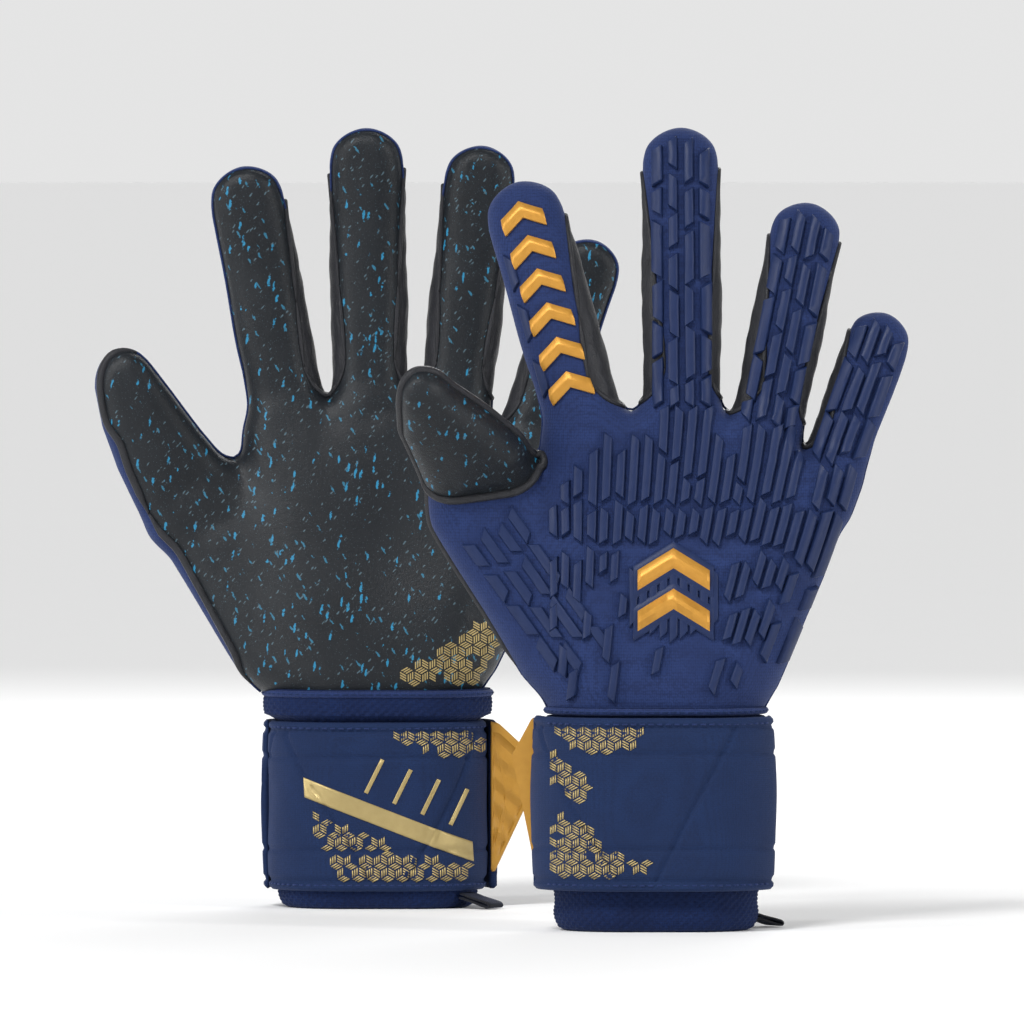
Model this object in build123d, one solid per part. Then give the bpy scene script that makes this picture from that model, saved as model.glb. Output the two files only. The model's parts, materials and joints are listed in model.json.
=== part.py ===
from build123d import *
import os
from math import cos, radians, sin, tan

# A pair of football goalkeeper gloves, standing on their cuffs with the fingers up.
# Units are millimetres. +Z is up, and the origin is on the floor under the middle of the pair.
# The left glove stands at +Y and faces its palm to -Y. The right one stands at -Y and faces its back to -Y.
# Each glove is a hollow hand shell (latex palm, fabric backhand), a knitted cuff, a strap round the cuff with
# a free end, and five stalls. Each finger is two hollow segments, on a knuckle and on a mid joint.

os.makedirs("parts", exist_ok=True)

# Stance of the pair
DEPTH_APART = 170.0
MIDDLE_Y = 10.9
LEFT_CUFF_X = -43.3
RIGHT_CUFF_X = 54.6

# Stalls and their joints. Angles are in degrees, and a joint's flex is counted from its rest pose.
WALL = 3.2
DEPTH_SHARE = 0.78
BASE_SHARE = 0.5
JOINT_GAP = 0.2
HINGE_INSET = 5.0
NOTCH_MARGIN = 2.0
KNUCKLE_PRECURVE = 6.0
KNUCKLE_FLEX = 55.0
MID_PRECURVE = 9.0
MID_FLEX = 60.0
TIP_ROUNDING = 1.2

# Thumb: three sections from its hinge to its tip
THUMB_LENGTH = 62.0
THUMB_WAIST = 0.55
THUMB_WIDTHS = (40.0, 31.0, 20.0)
THUMB_DEPTHS = (24.0, 21.0, 15.0)
THENAR_REACH_X = 40.0
THENAR_REACH_Z = 55.0
THENAR_LEAN = -36.0
THENAR_WIDTH = 50.0
THENAR_DEPTH = 38.0

# Cuff, strap and what is on it
HEM_Z = 77.0
KNIT_WALL = 2.4
KNIT_WIDTH = 72.0
KNIT_DEPTH = 48.0
FOOT_WIDTH = 67.0
FOOT_DEPTH = 44.0
FOOT_HEIGHT = 6.0
PIPING = 2.4
STRAP_HEIGHT = 60.0
STRAP_THICK = 2.6
END_GAP = 1.4
END_THICK = 2.8
HOOK_THICK = 1.0
HOOK_MARGIN = 12.0
HOOK_LENGTH = 26.0
TAB_THICK = 2.4
LOOP_WIDTH = 9.0
LOOP_LENGTH = 14.0
LOOP_THICK = 2.4
LOOP_Z = 4.4
LOOP_TILT = 75.0
LOOP_BEARING = 35.0
LOOP_CLEARANCE = 0.5

# Backhand ribs and emblem
RIB_HEIGHT = 2.0
RIB_WIDTH = 4.6
RIB_COLUMNS = 9
RIB_ROWS = ((166.0, 24.0), (143.0, 15.0), (122.0, 12.0), (102.0, 9.0))
EMBLEM_Z = 117.5
EMBLEM_SIDE = 0.47
EMBLEM_CLEAR_X = 17.0
EMBLEM_CLEAR_Z = 26.0
CHEVRON = ((-13, -6), (0, 1), (13, -6), (13, 1), (0, 8), (-13, 1))
CHEVRON_LIFT = 7.0

# Longer than anything in the pair, for cutting
FAR = 400.0


class Digit:
    """A finger stall: the middle of its root, its lean towards +X, its length and its width."""

    def __init__(self, name, root_x, root_z, lean, length, width):
        self.name = name
        self.root_x = root_x
        self.root_z = root_z
        self.lean = lean
        self.length = length
        self.width = width
        self.depth = DEPTH_SHARE * width
        self.hinge_depth = self.depth / 2 - HINGE_INSET
        self.base_length = length * BASE_SHARE


class Thumb:
    """A thumb stall: its hinge's middle, its lean, how far its tip is set aside, and its swing towards -Y."""

    def __init__(self, x, z, lean, tip_shift, tilt, swing):
        self.x = x
        self.z = z
        self.lean = lean
        self.tip_shift = tip_shift
        self.tilt = tilt
        self.swing = swing
        self.hinge_depth = THUMB_DEPTHS[0] / 2 - HINGE_INSET


class Glove:
    """What differs between the gloves. palm is the Y side the palm faces, end_side the X side the strap ends on.
    An outline row is a height, the hand's lowest and highest x there, and its depth."""

    def __init__(self, name, palm, cuff_x, strap_z, end_side, tab_reach, outline, digits, thumb):
        self.name = name
        self.palm = palm
        self.y = MIDDLE_Y - palm * DEPTH_APART / 2
        self.cuff_x = cuff_x
        self.strap_low = strap_z
        self.strap_high = strap_z + STRAP_HEIGHT
        self.end_side = end_side
        self.tab_reach = tab_reach
        self.outline = outline
        self.digits = digits
        self.thumb = thumb


LEFT = Glove(
    "left", -1, LEFT_CUFF_X, 6.5, 1, 14.0,
    ((HEM_Z, -81.8, -5.0, 48.0), (113.0, -88.0, 11.0, 42.0), (147.0, -91.0, 20.0, 32.0), (192.0, -91.0, 26.5, 23.0)),
    (
        Digit("index", -75.6, 182.0, -9.6, 85.5, 28.0),
        Digit("middle", -45.6, 185.9, -0.7, 94.0, 28.5),
        Digit("ring", -15.3, 184.5, 5.2, 88.0, 27.5),
        Digit("pinky", 11.6, 170.0, 18.5, 73.0, 24.0),
    ),
    Thumb(-104.5, 145.0, -26.0, -6.0, 14.0, 45.0),
)
RIGHT = Glove(
    "right", 1, RIGHT_CUFF_X, 14.5, -1, 7.0,
    ((HEM_Z, 16.0, 93.6, 48.0), (113.0, 16.0, 109.0, 42.0), (147.0, 15.0, 122.0, 32.0), (192.0, 14.0, 132.0, 23.0)),
    (
        Digit("index", 29.3, 181.2, -14.8, 83.0, 28.0),
        Digit("middle", 63.6, 186.4, -0.3, 94.5, 28.5),
        Digit("ring", 94.0, 180.0, 11.5, 75.5, 26.0),
        Digit("pinky", 117.6, 165.5, 20.0, 53.0, 23.0),
    ),
    Thumb(-4.5, 151.0, -8.0, -11.0, 50.0, 20.0),
)


def slot(width, depth):
    """The flattened round section that the stalls, the hand and the cuff share."""
    return SlotOverall(width, depth)


def half_space(side):
    """Everything on one Y side of the origin."""
    return Pos(0, side * FAR / 2, 0) * Box(2 * FAR, FAR, 2 * FAR)


def side_of(glove, side):
    """Everything on one Y side of a glove's middle plane."""
    return half_space(side).moved(Location((0, glove.y, 0)))


def facing(x, y, z, lean):
    """A frame whose Z leans by that angle towards +X, and whose Y is the pair's own Y."""
    a = radians(lean)
    return Plane(origin=(x, y, z), x_dir=(cos(a), 0, -sin(a)), z_dir=(sin(a), 0, cos(a)))


def digit_frame(digit, glove):
    return facing(digit.root_x, glove.y, digit.root_z, digit.lean)


def thumb_frame(glove):
    return facing(glove.thumb.x, glove.y, glove.thumb.z, glove.thumb.lean)


def knuckle_axis(digit, glove):
    """The hinge line of a digit's knuckle. A positive turn bends the digit towards the palm."""
    frame = digit_frame(digit, glove)
    return Axis(frame.origin + frame.y_dir * glove.palm * digit.hinge_depth, frame.x_dir * -glove.palm)


def straight_mid_axis(digit, glove):
    """The hinge line of a digit's mid joint, while the digit is still straight."""
    knuckle = knuckle_axis(digit, glove)
    return Axis(knuckle.position + digit_frame(digit, glove).z_dir * digit.base_length, knuckle.direction)


def mid_axis(digit, glove):
    """The hinge line of a digit's mid joint, where it is at rest."""
    knuckle = knuckle_axis(digit, glove)
    reach = straight_mid_axis(digit, glove).position - knuckle.position
    turned = reach.rotate(Axis((0, 0, 0), knuckle.direction), KNUCKLE_PRECURVE)
    return Axis(knuckle.position + turned, knuckle.direction)


def thumb_axis(glove):
    """The hinge line of the thumb. A positive turn swings the thumb towards -Y."""
    frame = thumb_frame(glove)
    return Axis(frame.origin - frame.y_dir * glove.thumb.hinge_depth, frame.x_dir)


def strap_axis(glove):
    """The fold line of the strap's free end. A positive turn opens it."""
    reach = KNIT_WIDTH / 2 + STRAP_THICK + END_GAP + END_THICK / 2
    z = (glove.strap_low + glove.strap_high) / 2
    return Axis((glove.cuff_x - glove.end_side * reach, glove.y, z), (0, 0, -glove.palm * glove.end_side))


def loop_frame(glove):
    """The pull loop's frame: Z runs outwards and a little down, X along the cuff's rim, from its sewn end."""
    bearing = radians(LOOP_BEARING)
    tilt = radians(LOOP_TILT)
    out_x, out_y = cos(bearing), glove.palm * sin(bearing)
    flare = (KNIT_WIDTH - FOOT_WIDTH) / 2 * LOOP_Z / FOOT_HEIGHT
    radius = FOOT_DEPTH / 2 + flare + LOOP_THICK / 2 + LOOP_CLEARANCE
    straight = (FOOT_WIDTH - FOOT_DEPTH) / 2
    origin = (glove.cuff_x + straight + radius * out_x, glove.y + radius * out_y, LOOP_Z)
    return Plane(origin=origin, x_dir=(-out_y, out_x, 0), z_dir=(sin(tilt) * out_x, sin(tilt) * out_y, -cos(tilt)))


def loop_axis(glove):
    """The line the pull loop swings about. A positive turn lifts it."""
    frame = loop_frame(glove)
    return Axis(frame.origin, -frame.x_dir)


def end_cutter(pad, hinge_depth, half_notch, side=1):
    """Trims what is below zero (side 1) or above it (side -1): square across the back, and sloped away from the
    hinge line on the pad side, so that the joint can bend."""
    reach = 30.0
    slope = JOINT_GAP + tan(radians(half_notch)) * reach
    outline = (
        (-reach, -reach), (-reach, JOINT_GAP), (hinge_depth, JOINT_GAP), (hinge_depth + reach, slope),
        (hinge_depth + reach, -reach),
    )
    points = [(pad * y, side * z) for y, z in outline]
    return extrude(Plane.YZ * Polygon(*points, align=None), amount=FAR / 2, both=True)


def knuckle_notch():
    return (KNUCKLE_PRECURVE + KNUCKLE_FLEX) / 2 + NOTCH_MARGIN


def mid_notch():
    return (MID_PRECURVE + MID_FLEX) / 2 + NOTCH_MARGIN


def thumb_notch(thumb):
    return (thumb.tilt + thumb.swing) / 2 + NOTCH_MARGIN


def top_edges(shape):
    return shape.edges().group_by(Axis.Z)[-1]


def stall(digit, length, closed):
    """A hollow length of finger stall. A closed one has a domed tip."""
    outer = extrude(slot(digit.width, digit.depth), length)
    inner = extrude(slot(digit.width - 2 * WALL, digit.depth - 2 * WALL), length - WALL if closed else length)
    if closed:
        outer = fillet(top_edges(outer), digit.depth / 2 - TIP_ROUNDING)
        inner = fillet(top_edges(inner), digit.depth / 2 - WALL - TIP_ROUNDING)
    return outer - inner


def finger(digit, glove):
    """The four panels of a finger: the latex and the back of its base, and of its tip."""
    pad = glove.palm
    frame = digit_frame(digit, glove)
    base = stall(digit, digit.base_length, False)
    base -= end_cutter(pad, digit.hinge_depth, knuckle_notch())
    base -= Pos(0, 0, digit.base_length) * end_cutter(pad, digit.hinge_depth, mid_notch(), -1)
    tip = stall(digit, digit.length - digit.base_length, True)
    tip -= end_cutter(pad, digit.hinge_depth, mid_notch())
    tip = Pos(0, 0, digit.base_length) * tip
    knuckle = knuckle_axis(digit, glove)
    panels = {}
    for side, panel in ((pad, "latex"), (-pad, "back")):
        half = half_space(side)
        base_panel = (base & half).moved(frame.location)
        tip_panel = (tip & half).moved(frame.location).rotate(straight_mid_axis(digit, glove), MID_PRECURVE)
        panels[f"{digit.name}_base_{panel}"] = base_panel.rotate(knuckle, KNUCKLE_PRECURVE)
        panels[f"{digit.name}_tip_{panel}"] = tip_panel.rotate(knuckle, KNUCKLE_PRECURVE)
    return panels


def thumb_form(thumb, shrink):
    """The thumb stall's form, all round smaller by shrink but as long at its mouth."""
    rows = zip((0.0, THUMB_WAIST, 1.0), THUMB_WIDTHS, THUMB_DEPTHS)
    sections = []
    for share, width, depth in rows:
        height = share * (THUMB_LENGTH - shrink)
        place = Plane.XY.offset(height) * Pos(share * thumb.tip_shift, 0)
        sections.append(place * slot(width - 2 * shrink, depth - 2 * shrink))
    form = loft(sections, ruled=True)
    return fillet(top_edges(form), THUMB_DEPTHS[2] / 2 - shrink - TIP_ROUNDING)


def thumb_panels(glove):
    """The latex and the back of the thumb. The latex faces -Y on both gloves."""
    thumb = glove.thumb
    shell = thumb_form(thumb, 0.0) - thumb_form(thumb, WALL)
    shell -= end_cutter(-1, thumb.hinge_depth, thumb_notch(thumb))
    panels = {}
    for side, panel in ((-1, "latex"), (1, "back")):
        half = (shell & half_space(side)).moved(thumb_frame(glove).location)
        panels[f"thumb_{panel}"] = half.rotate(thumb_axis(glove), thumb.tilt)
    return panels


def hand_form(glove, grow):
    """The hand's form with the thumb's root, grown all round."""
    sections = []
    for z, low, high, depth in glove.outline:
        place = Plane.XY.offset(z) * Pos((low + high) / 2, glove.y)
        sections.append(place * slot(high - low + 2 * grow, depth + 2 * grow))
    thumb = glove.thumb
    root = facing(thumb.x + THENAR_REACH_X, glove.y, thumb.z - THENAR_REACH_Z, THENAR_LEAN)
    thenar = loft(
        [
            root * slot(THENAR_WIDTH + 2 * grow, THENAR_DEPTH + 2 * grow),
            thumb_frame(glove) * slot(THUMB_WIDTHS[0] + 2 * grow, THUMB_DEPTHS[0] + 2 * grow),
        ],
        ruled=True,
    )
    return loft(sections, ruled=True) + thenar


def above_roots(glove):
    """The space above the finger roots, which is square to each finger where its stall meets the hand."""
    points = []
    for digit in glove.digits:
        frame = facing(digit.root_x, 0, digit.root_z - JOINT_GAP, digit.lean)
        for side in (-1, 1):
            point = frame.origin + frame.x_dir * side * digit.width / 2
            points.append((point.X, point.Z))
    low_x, low_z = points[0]
    high_x, high_z = points[-1]
    points = [(low_x - FAR, low_z), *points, (high_x + FAR, high_z), (high_x + FAR, FAR), (low_x - FAR, FAR)]
    plane = Plane(origin=(0, glove.y, 0), x_dir=(1, 0, 0), z_dir=(0, -1, 0))
    return extrude(plane * Polygon(*points, align=None), amount=FAR / 4, both=True)


def root_cutters(glove):
    """What is taken off the palm side below each finger and below the thumb, for them to bend."""
    cutters = []
    first, last = glove.digits[0], glove.digits[-1]
    beside, beyond = 0.8, 10.0
    for digit in glove.digits:
        low = digit.width / 2 + (beyond if digit is first else beside)
        high = digit.width / 2 + (beyond if digit is last else beside)
        window = Pos((high - low) / 2, 0) * Box(low + high, FAR, FAR)
        cutter = end_cutter(glove.palm, digit.hinge_depth, knuckle_notch(), -1) & window
        cutters.append(cutter.moved(digit_frame(digit, glove).location))
    thumb = glove.thumb
    cutter = end_cutter(-1, thumb.hinge_depth, thumb_notch(thumb), -1)
    cutter &= Box(THUMB_WIDTHS[0] + 2.0, FAR, FAR)
    cutters.append(cutter.moved(thumb_frame(glove).location))
    return cutters


def width_at(glove, z):
    """The hand's lowest and highest x at a height, read between the outline's rows."""
    for (z0, low0, high0, _), (z1, low1, high1, _) in zip(glove.outline, glove.outline[1:]):
        if z0 <= z <= z1:
            share = (z - z0) / (z1 - z0)
            return low0 + share * (low1 - low0), high0 + share * (high1 - high0)
    raise ValueError("that height is off the hand")


def emblem_x(glove):
    low, high = width_at(glove, EMBLEM_Z)
    return low + EMBLEM_SIDE * (high - low)


def webs(glove, cavity, cutters):
    """The gussets at the crotches: each bridges the hand's hollow between two finger mouths."""
    pieces = []
    for first, second in zip(glove.digits, glove.digits[1:]):
        x = (first.root_x + second.root_x) / 2
        z = min(first.root_z, second.root_z) - 5.0
        bridge = cavity & (Pos(x, glove.y, z) * Box(8.0, FAR, 6.0))
        for cutter in cutters:
            bridge -= cutter
        pieces += bridge.solids()
    return Compound(pieces)


def ribs(glove, skin):
    """Raised bars on the backhand, in staggered rows round the emblem."""
    bars = []
    for row, (row_z, length) in enumerate(RIB_ROWS):
        low, high = width_at(glove, row_z)
        pitch = (high - low - 2 * RIB_WIDTH) / RIB_COLUMNS
        for column in range(RIB_COLUMNS - row % 2):
            x = low + RIB_WIDTH + pitch * (column + 0.5 + 0.5 * (row % 2))
            near_emblem = abs(x - emblem_x(glove)) < EMBLEM_CLEAR_X and abs(row_z - EMBLEM_Z) < EMBLEM_CLEAR_Z
            if not near_emblem:
                bars.append(Pos(x, glove.y, row_z) * Box(RIB_WIDTH, FAR, length))
    return Compound([solid for bar in bars for solid in (skin & bar).solids()])


def emblem(glove, skin):
    """Two raised chevrons, one above the other, on the backhand."""
    pieces = []
    for lift in (-CHEVRON_LIFT, CHEVRON_LIFT):
        plane = Plane(origin=(emblem_x(glove), glove.y, EMBLEM_Z + lift), x_dir=(1, 0, 0), z_dir=(0, -1, 0))
        prism = extrude(plane * Polygon(*CHEVRON, align=None), amount=FAR / 4, both=True)
        pieces += (skin & prism).solids()
    return Compound(pieces)


def hand(glove):
    """The palm latex, the backhand, the webs, the ribs and the emblem."""
    form = hand_form(glove, 0.0)
    cavity = hand_form(glove, -WALL)
    mouth = above_roots(glove)
    cutters = root_cutters(glove)
    shell = form - cavity - mouth
    for cutter in cutters:
        shell -= cutter
    skin = (hand_form(glove, RIB_HEIGHT) - form - mouth) & side_of(glove, -glove.palm)
    return {
        "palm_latex": shell & side_of(glove, glove.palm),
        "backhand": shell & side_of(glove, -glove.palm),
        "finger_webs": webs(glove, cavity - mouth, cutters),
        "back_ribs": ribs(glove, skin),
        "emblem": emblem(glove, skin),
    }


def band(glove, inner_width, inner_depth, thick, low, high):
    """A band round the cuff between two heights."""
    place = Plane.XY.offset(low) * Pos(glove.cuff_x, glove.y)
    outer = extrude(place * slot(inner_width + 2 * thick, inner_depth + 2 * thick), high - low)
    return outer - extrude(place * slot(inner_width, inner_depth), high - low)


def knit_form(glove, shrink):
    """The knitted cuff's form: a straight sleeve on a foot that draws in to the hem."""
    place = Pos(glove.cuff_x, glove.y)
    hem = place * slot(FOOT_WIDTH - 2 * shrink, FOOT_DEPTH - 2 * shrink)
    sleeve = Plane.XY.offset(FOOT_HEIGHT) * place * slot(KNIT_WIDTH - 2 * shrink, KNIT_DEPTH - 2 * shrink)
    return loft([hem, sleeve], ruled=True) + extrude(sleeve, HEM_Z - FOOT_HEIGHT)


def strap_tab(glove):
    """The moulded tab on the strap's free end: a plate on the end's edge, on its palm side."""
    side = glove.end_side
    low, high = glove.strap_low, glove.strap_high
    root = glove.cuff_x + side * (KNIT_WIDTH / 2 + STRAP_THICK + END_GAP + 0.3)
    shoulder = root + side * END_THICK
    tip = shoulder + side * glove.tab_reach
    outline = (
        (root, high - 0.5), (shoulder, high - 1.0), (tip, low + 46.0), (tip - side * 3.0, low + 32.0),
        (root + side * 1.5, low + 6.0), (root, low + 6.0),
    )
    plane = Plane(origin=(0, glove.y, 0), x_dir=(1, 0, 0), z_dir=(0, -1, 0))
    return extrude(plane * Polygon(*outline, align=None), TAB_THICK, dir=(0, glove.palm, 0))


def pull_loop(glove):
    """The folded tape that the glove is pulled on by, rounded at both ends, with its sewn end on its hinge line."""
    tape = Plane.YZ * Rot(0, 0, 90) * slot(LOOP_LENGTH, LOOP_THICK)
    tape = extrude(tape, amount=LOOP_WIDTH / 2, both=True)
    reach = LOOP_LENGTH / 2 - LOOP_THICK / 2
    return tape.moved(Location((0, 0, reach))).moved(loop_frame(glove).location)


def cuff(glove):
    """The knitted cuff, the hand's piping, the strap, its free end, the hook patch, the tab and the pull loop."""
    end_width = KNIT_WIDTH + 2 * STRAP_THICK + 2 * END_GAP
    end_depth = KNIT_DEPTH + 2 * STRAP_THICK + 2 * END_GAP
    low, high = glove.strap_low, glove.strap_high
    hook_size = (end_width - 2 * HOOK_THICK, end_depth - 2 * HOOK_THICK)
    hook_x = glove.cuff_x + glove.end_side * (end_width / 2 - HOOK_LENGTH / 2)
    hook_window = Pos(hook_x, glove.y - glove.palm * (4.0 + FAR / 2), 0) * Box(HOOK_LENGTH, FAR, FAR)
    return {
        "wrist_knit": knit_form(glove, 0.0) - knit_form(glove, KNIT_WALL),
        "wrist_piping": band(glove, KNIT_WIDTH, KNIT_DEPTH, PIPING, HEM_Z - PIPING, HEM_Z),
        "wrist_strap": band(glove, KNIT_WIDTH, KNIT_DEPTH, STRAP_THICK, low, high),
        "strap_end": band(glove, end_width, end_depth, END_THICK, low, high) & side_of(glove, -glove.palm),
        "hook_patch": band(glove, *hook_size, HOOK_THICK, low + HOOK_MARGIN, high - HOOK_MARGIN) & hook_window,
        "strap_tab": strap_tab(glove),
        "pull_loop": pull_loop(glove),
    }


def build(glove):
    """Every node of one glove, by name."""
    nodes = hand(glove) | cuff(glove) | thumb_panels(glove)
    for digit in glove.digits:
        nodes |= finger(digit, glove)
    return {f"{glove.name}_{name}": solid for name, solid in nodes.items()}


for glove in (LEFT, RIGHT):
    for name, solid in build(glove).items():
        export_step(solid, f"parts/{name}.step")
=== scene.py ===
import json
import math
import random

import bpy
import numpy as np
from mathutils import Vector
from mathutils.bvhtree import BVHTree
from mathutils.kdtree import KDTree

# The looks of a pair of goalkeeper gloves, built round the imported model. Lengths are in millimetres until an
# object is made. A glove's skin is the surface of a smooth distance field, cut along its seams into panels.
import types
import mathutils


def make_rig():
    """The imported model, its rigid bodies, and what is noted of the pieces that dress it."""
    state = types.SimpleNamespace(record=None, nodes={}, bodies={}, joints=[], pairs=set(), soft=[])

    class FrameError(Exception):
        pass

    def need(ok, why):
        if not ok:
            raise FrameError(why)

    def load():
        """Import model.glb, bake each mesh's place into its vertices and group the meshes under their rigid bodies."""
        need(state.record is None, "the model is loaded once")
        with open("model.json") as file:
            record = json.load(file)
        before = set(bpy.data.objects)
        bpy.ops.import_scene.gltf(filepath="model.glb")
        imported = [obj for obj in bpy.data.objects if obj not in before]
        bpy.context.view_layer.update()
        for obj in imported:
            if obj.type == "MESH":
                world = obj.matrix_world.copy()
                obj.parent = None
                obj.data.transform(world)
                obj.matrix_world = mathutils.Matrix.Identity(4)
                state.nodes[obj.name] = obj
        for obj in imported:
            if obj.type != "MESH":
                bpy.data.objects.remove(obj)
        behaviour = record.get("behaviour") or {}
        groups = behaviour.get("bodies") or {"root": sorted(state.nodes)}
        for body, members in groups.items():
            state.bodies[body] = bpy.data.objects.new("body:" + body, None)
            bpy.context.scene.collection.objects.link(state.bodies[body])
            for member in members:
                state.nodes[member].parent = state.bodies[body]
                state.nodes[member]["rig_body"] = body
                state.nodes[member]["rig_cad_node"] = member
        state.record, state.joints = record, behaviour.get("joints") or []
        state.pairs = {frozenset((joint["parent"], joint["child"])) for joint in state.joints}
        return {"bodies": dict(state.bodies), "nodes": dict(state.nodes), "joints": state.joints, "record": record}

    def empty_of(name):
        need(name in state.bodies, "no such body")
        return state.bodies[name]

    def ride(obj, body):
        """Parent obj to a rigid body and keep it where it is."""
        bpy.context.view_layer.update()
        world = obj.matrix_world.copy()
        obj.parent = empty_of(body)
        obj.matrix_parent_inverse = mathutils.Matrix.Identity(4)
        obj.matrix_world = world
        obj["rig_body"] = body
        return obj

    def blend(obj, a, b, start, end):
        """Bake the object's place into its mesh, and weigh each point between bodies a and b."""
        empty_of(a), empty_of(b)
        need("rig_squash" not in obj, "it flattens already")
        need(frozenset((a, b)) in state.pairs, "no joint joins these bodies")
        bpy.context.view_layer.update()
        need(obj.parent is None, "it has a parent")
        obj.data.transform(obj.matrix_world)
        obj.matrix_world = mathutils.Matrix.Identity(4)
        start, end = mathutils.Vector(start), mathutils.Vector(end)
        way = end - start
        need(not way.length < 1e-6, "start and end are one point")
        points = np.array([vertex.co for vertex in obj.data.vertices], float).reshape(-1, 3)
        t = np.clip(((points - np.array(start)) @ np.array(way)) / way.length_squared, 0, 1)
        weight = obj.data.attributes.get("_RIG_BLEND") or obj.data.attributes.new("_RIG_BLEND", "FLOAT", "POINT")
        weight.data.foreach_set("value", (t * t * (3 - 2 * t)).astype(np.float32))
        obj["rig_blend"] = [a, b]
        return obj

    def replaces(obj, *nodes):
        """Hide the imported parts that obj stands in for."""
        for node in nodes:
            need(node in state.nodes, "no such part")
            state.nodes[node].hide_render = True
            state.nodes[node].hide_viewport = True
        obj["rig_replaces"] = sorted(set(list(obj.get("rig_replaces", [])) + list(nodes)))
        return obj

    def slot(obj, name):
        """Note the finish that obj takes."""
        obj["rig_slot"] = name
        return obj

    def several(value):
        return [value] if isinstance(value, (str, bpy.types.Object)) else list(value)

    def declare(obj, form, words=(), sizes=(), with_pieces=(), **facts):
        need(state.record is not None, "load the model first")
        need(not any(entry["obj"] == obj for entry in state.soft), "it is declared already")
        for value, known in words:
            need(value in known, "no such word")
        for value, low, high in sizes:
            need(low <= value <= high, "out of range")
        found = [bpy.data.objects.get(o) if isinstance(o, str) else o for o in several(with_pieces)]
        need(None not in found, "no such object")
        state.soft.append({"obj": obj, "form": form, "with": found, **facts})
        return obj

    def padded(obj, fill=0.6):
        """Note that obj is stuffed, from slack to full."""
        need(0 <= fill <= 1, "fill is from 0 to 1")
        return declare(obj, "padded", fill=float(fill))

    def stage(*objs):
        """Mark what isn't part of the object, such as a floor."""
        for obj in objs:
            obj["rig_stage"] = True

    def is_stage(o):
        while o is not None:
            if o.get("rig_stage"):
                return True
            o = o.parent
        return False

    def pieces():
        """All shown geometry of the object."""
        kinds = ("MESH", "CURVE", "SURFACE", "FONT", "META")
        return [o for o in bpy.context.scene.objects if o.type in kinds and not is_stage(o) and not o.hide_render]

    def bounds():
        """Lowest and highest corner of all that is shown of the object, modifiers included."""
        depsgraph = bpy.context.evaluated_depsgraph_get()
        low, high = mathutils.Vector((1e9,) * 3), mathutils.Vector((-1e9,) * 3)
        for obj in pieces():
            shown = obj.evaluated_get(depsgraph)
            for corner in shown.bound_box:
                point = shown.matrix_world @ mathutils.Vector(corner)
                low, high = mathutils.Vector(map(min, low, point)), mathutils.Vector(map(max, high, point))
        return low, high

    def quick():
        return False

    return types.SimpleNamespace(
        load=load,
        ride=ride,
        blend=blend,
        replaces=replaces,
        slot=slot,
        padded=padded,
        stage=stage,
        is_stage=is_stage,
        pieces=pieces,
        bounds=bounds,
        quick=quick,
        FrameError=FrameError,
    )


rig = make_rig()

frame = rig.load()
CAD_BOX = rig.bounds()
MM = 0.001
rng = random.Random(7)

# Cuff and strap: widths and depths of the slot-shaped rings, and how much of the strap bends at its fold
KNIT = (72.0, 48.0)
STRAP_HEIGHT = 60.0
FOLD_REACH = 9.0
END_SIZE = (KNIT[0] + 8.0, KNIT[1] + 8.0)
HOOK_SIZE = (KNIT[0] + 6, KNIT[1] + 6)

# Skin: the mesh's cell, how softly a panel rises from its seams, and how far its padding swells
CELL = 1.35
SEAM_WIDTH = 2.6
FOAM = 1.1
LATEX_FILL = 0.55
FABRIC_FILL = 0.4
HEM_Z = 77.0

# Cloth that is blown up: its cell, how far from a seam it is held, its pressure and the most that it may move
CLOTH_CELL = 4.0
CLOTH_HELD = 2.4
CLOTH_PRESSURE = 100.0
CLOTH_FRAMES = 20
CLOTH_CAP = 2.2

# Fingers: their seams and where they bend, as lengths or shares of a finger's length, and their bend at rest
ROOT_SEAM = 9.0
MID_SEAM = 0.38
KNUCKLE_END = 0.36
MID_START = 0.42
MID_END = 0.66
KNUCKLE_LEAN = 0.105
MID_LEAN = 0.163
KNUCKLE_STRETCH = 0.0055
MID_STRETCH = 0.03

# Thumb: its seam, where it bends, and its root's line from inside the palm to its hinge
THUMB_SEAM = 5.0
THUMB_BLEND = 26.0
THENAR_LENGTH = math.hypot(40.0, 55.0)
THENAR = (-40.0 / THENAR_LENGTH, 55.0 / THENAR_LENGTH)

# How softly the parts of a glove run into each other
PALM_SOFTNESS = 9.0
ROOT_SOFTNESS = 5.0
FINGER_SOFTNESS = 2.2

# The height of the emblem's middle on the back
EMBLEM_Z = 117.5

# A direction that no seam or cord follows
NO_PATH_RUNS_HERE = (0.123, 0.456, 0.881)


# ---------------------------------------------------------------- the gloves' dimensions

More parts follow.
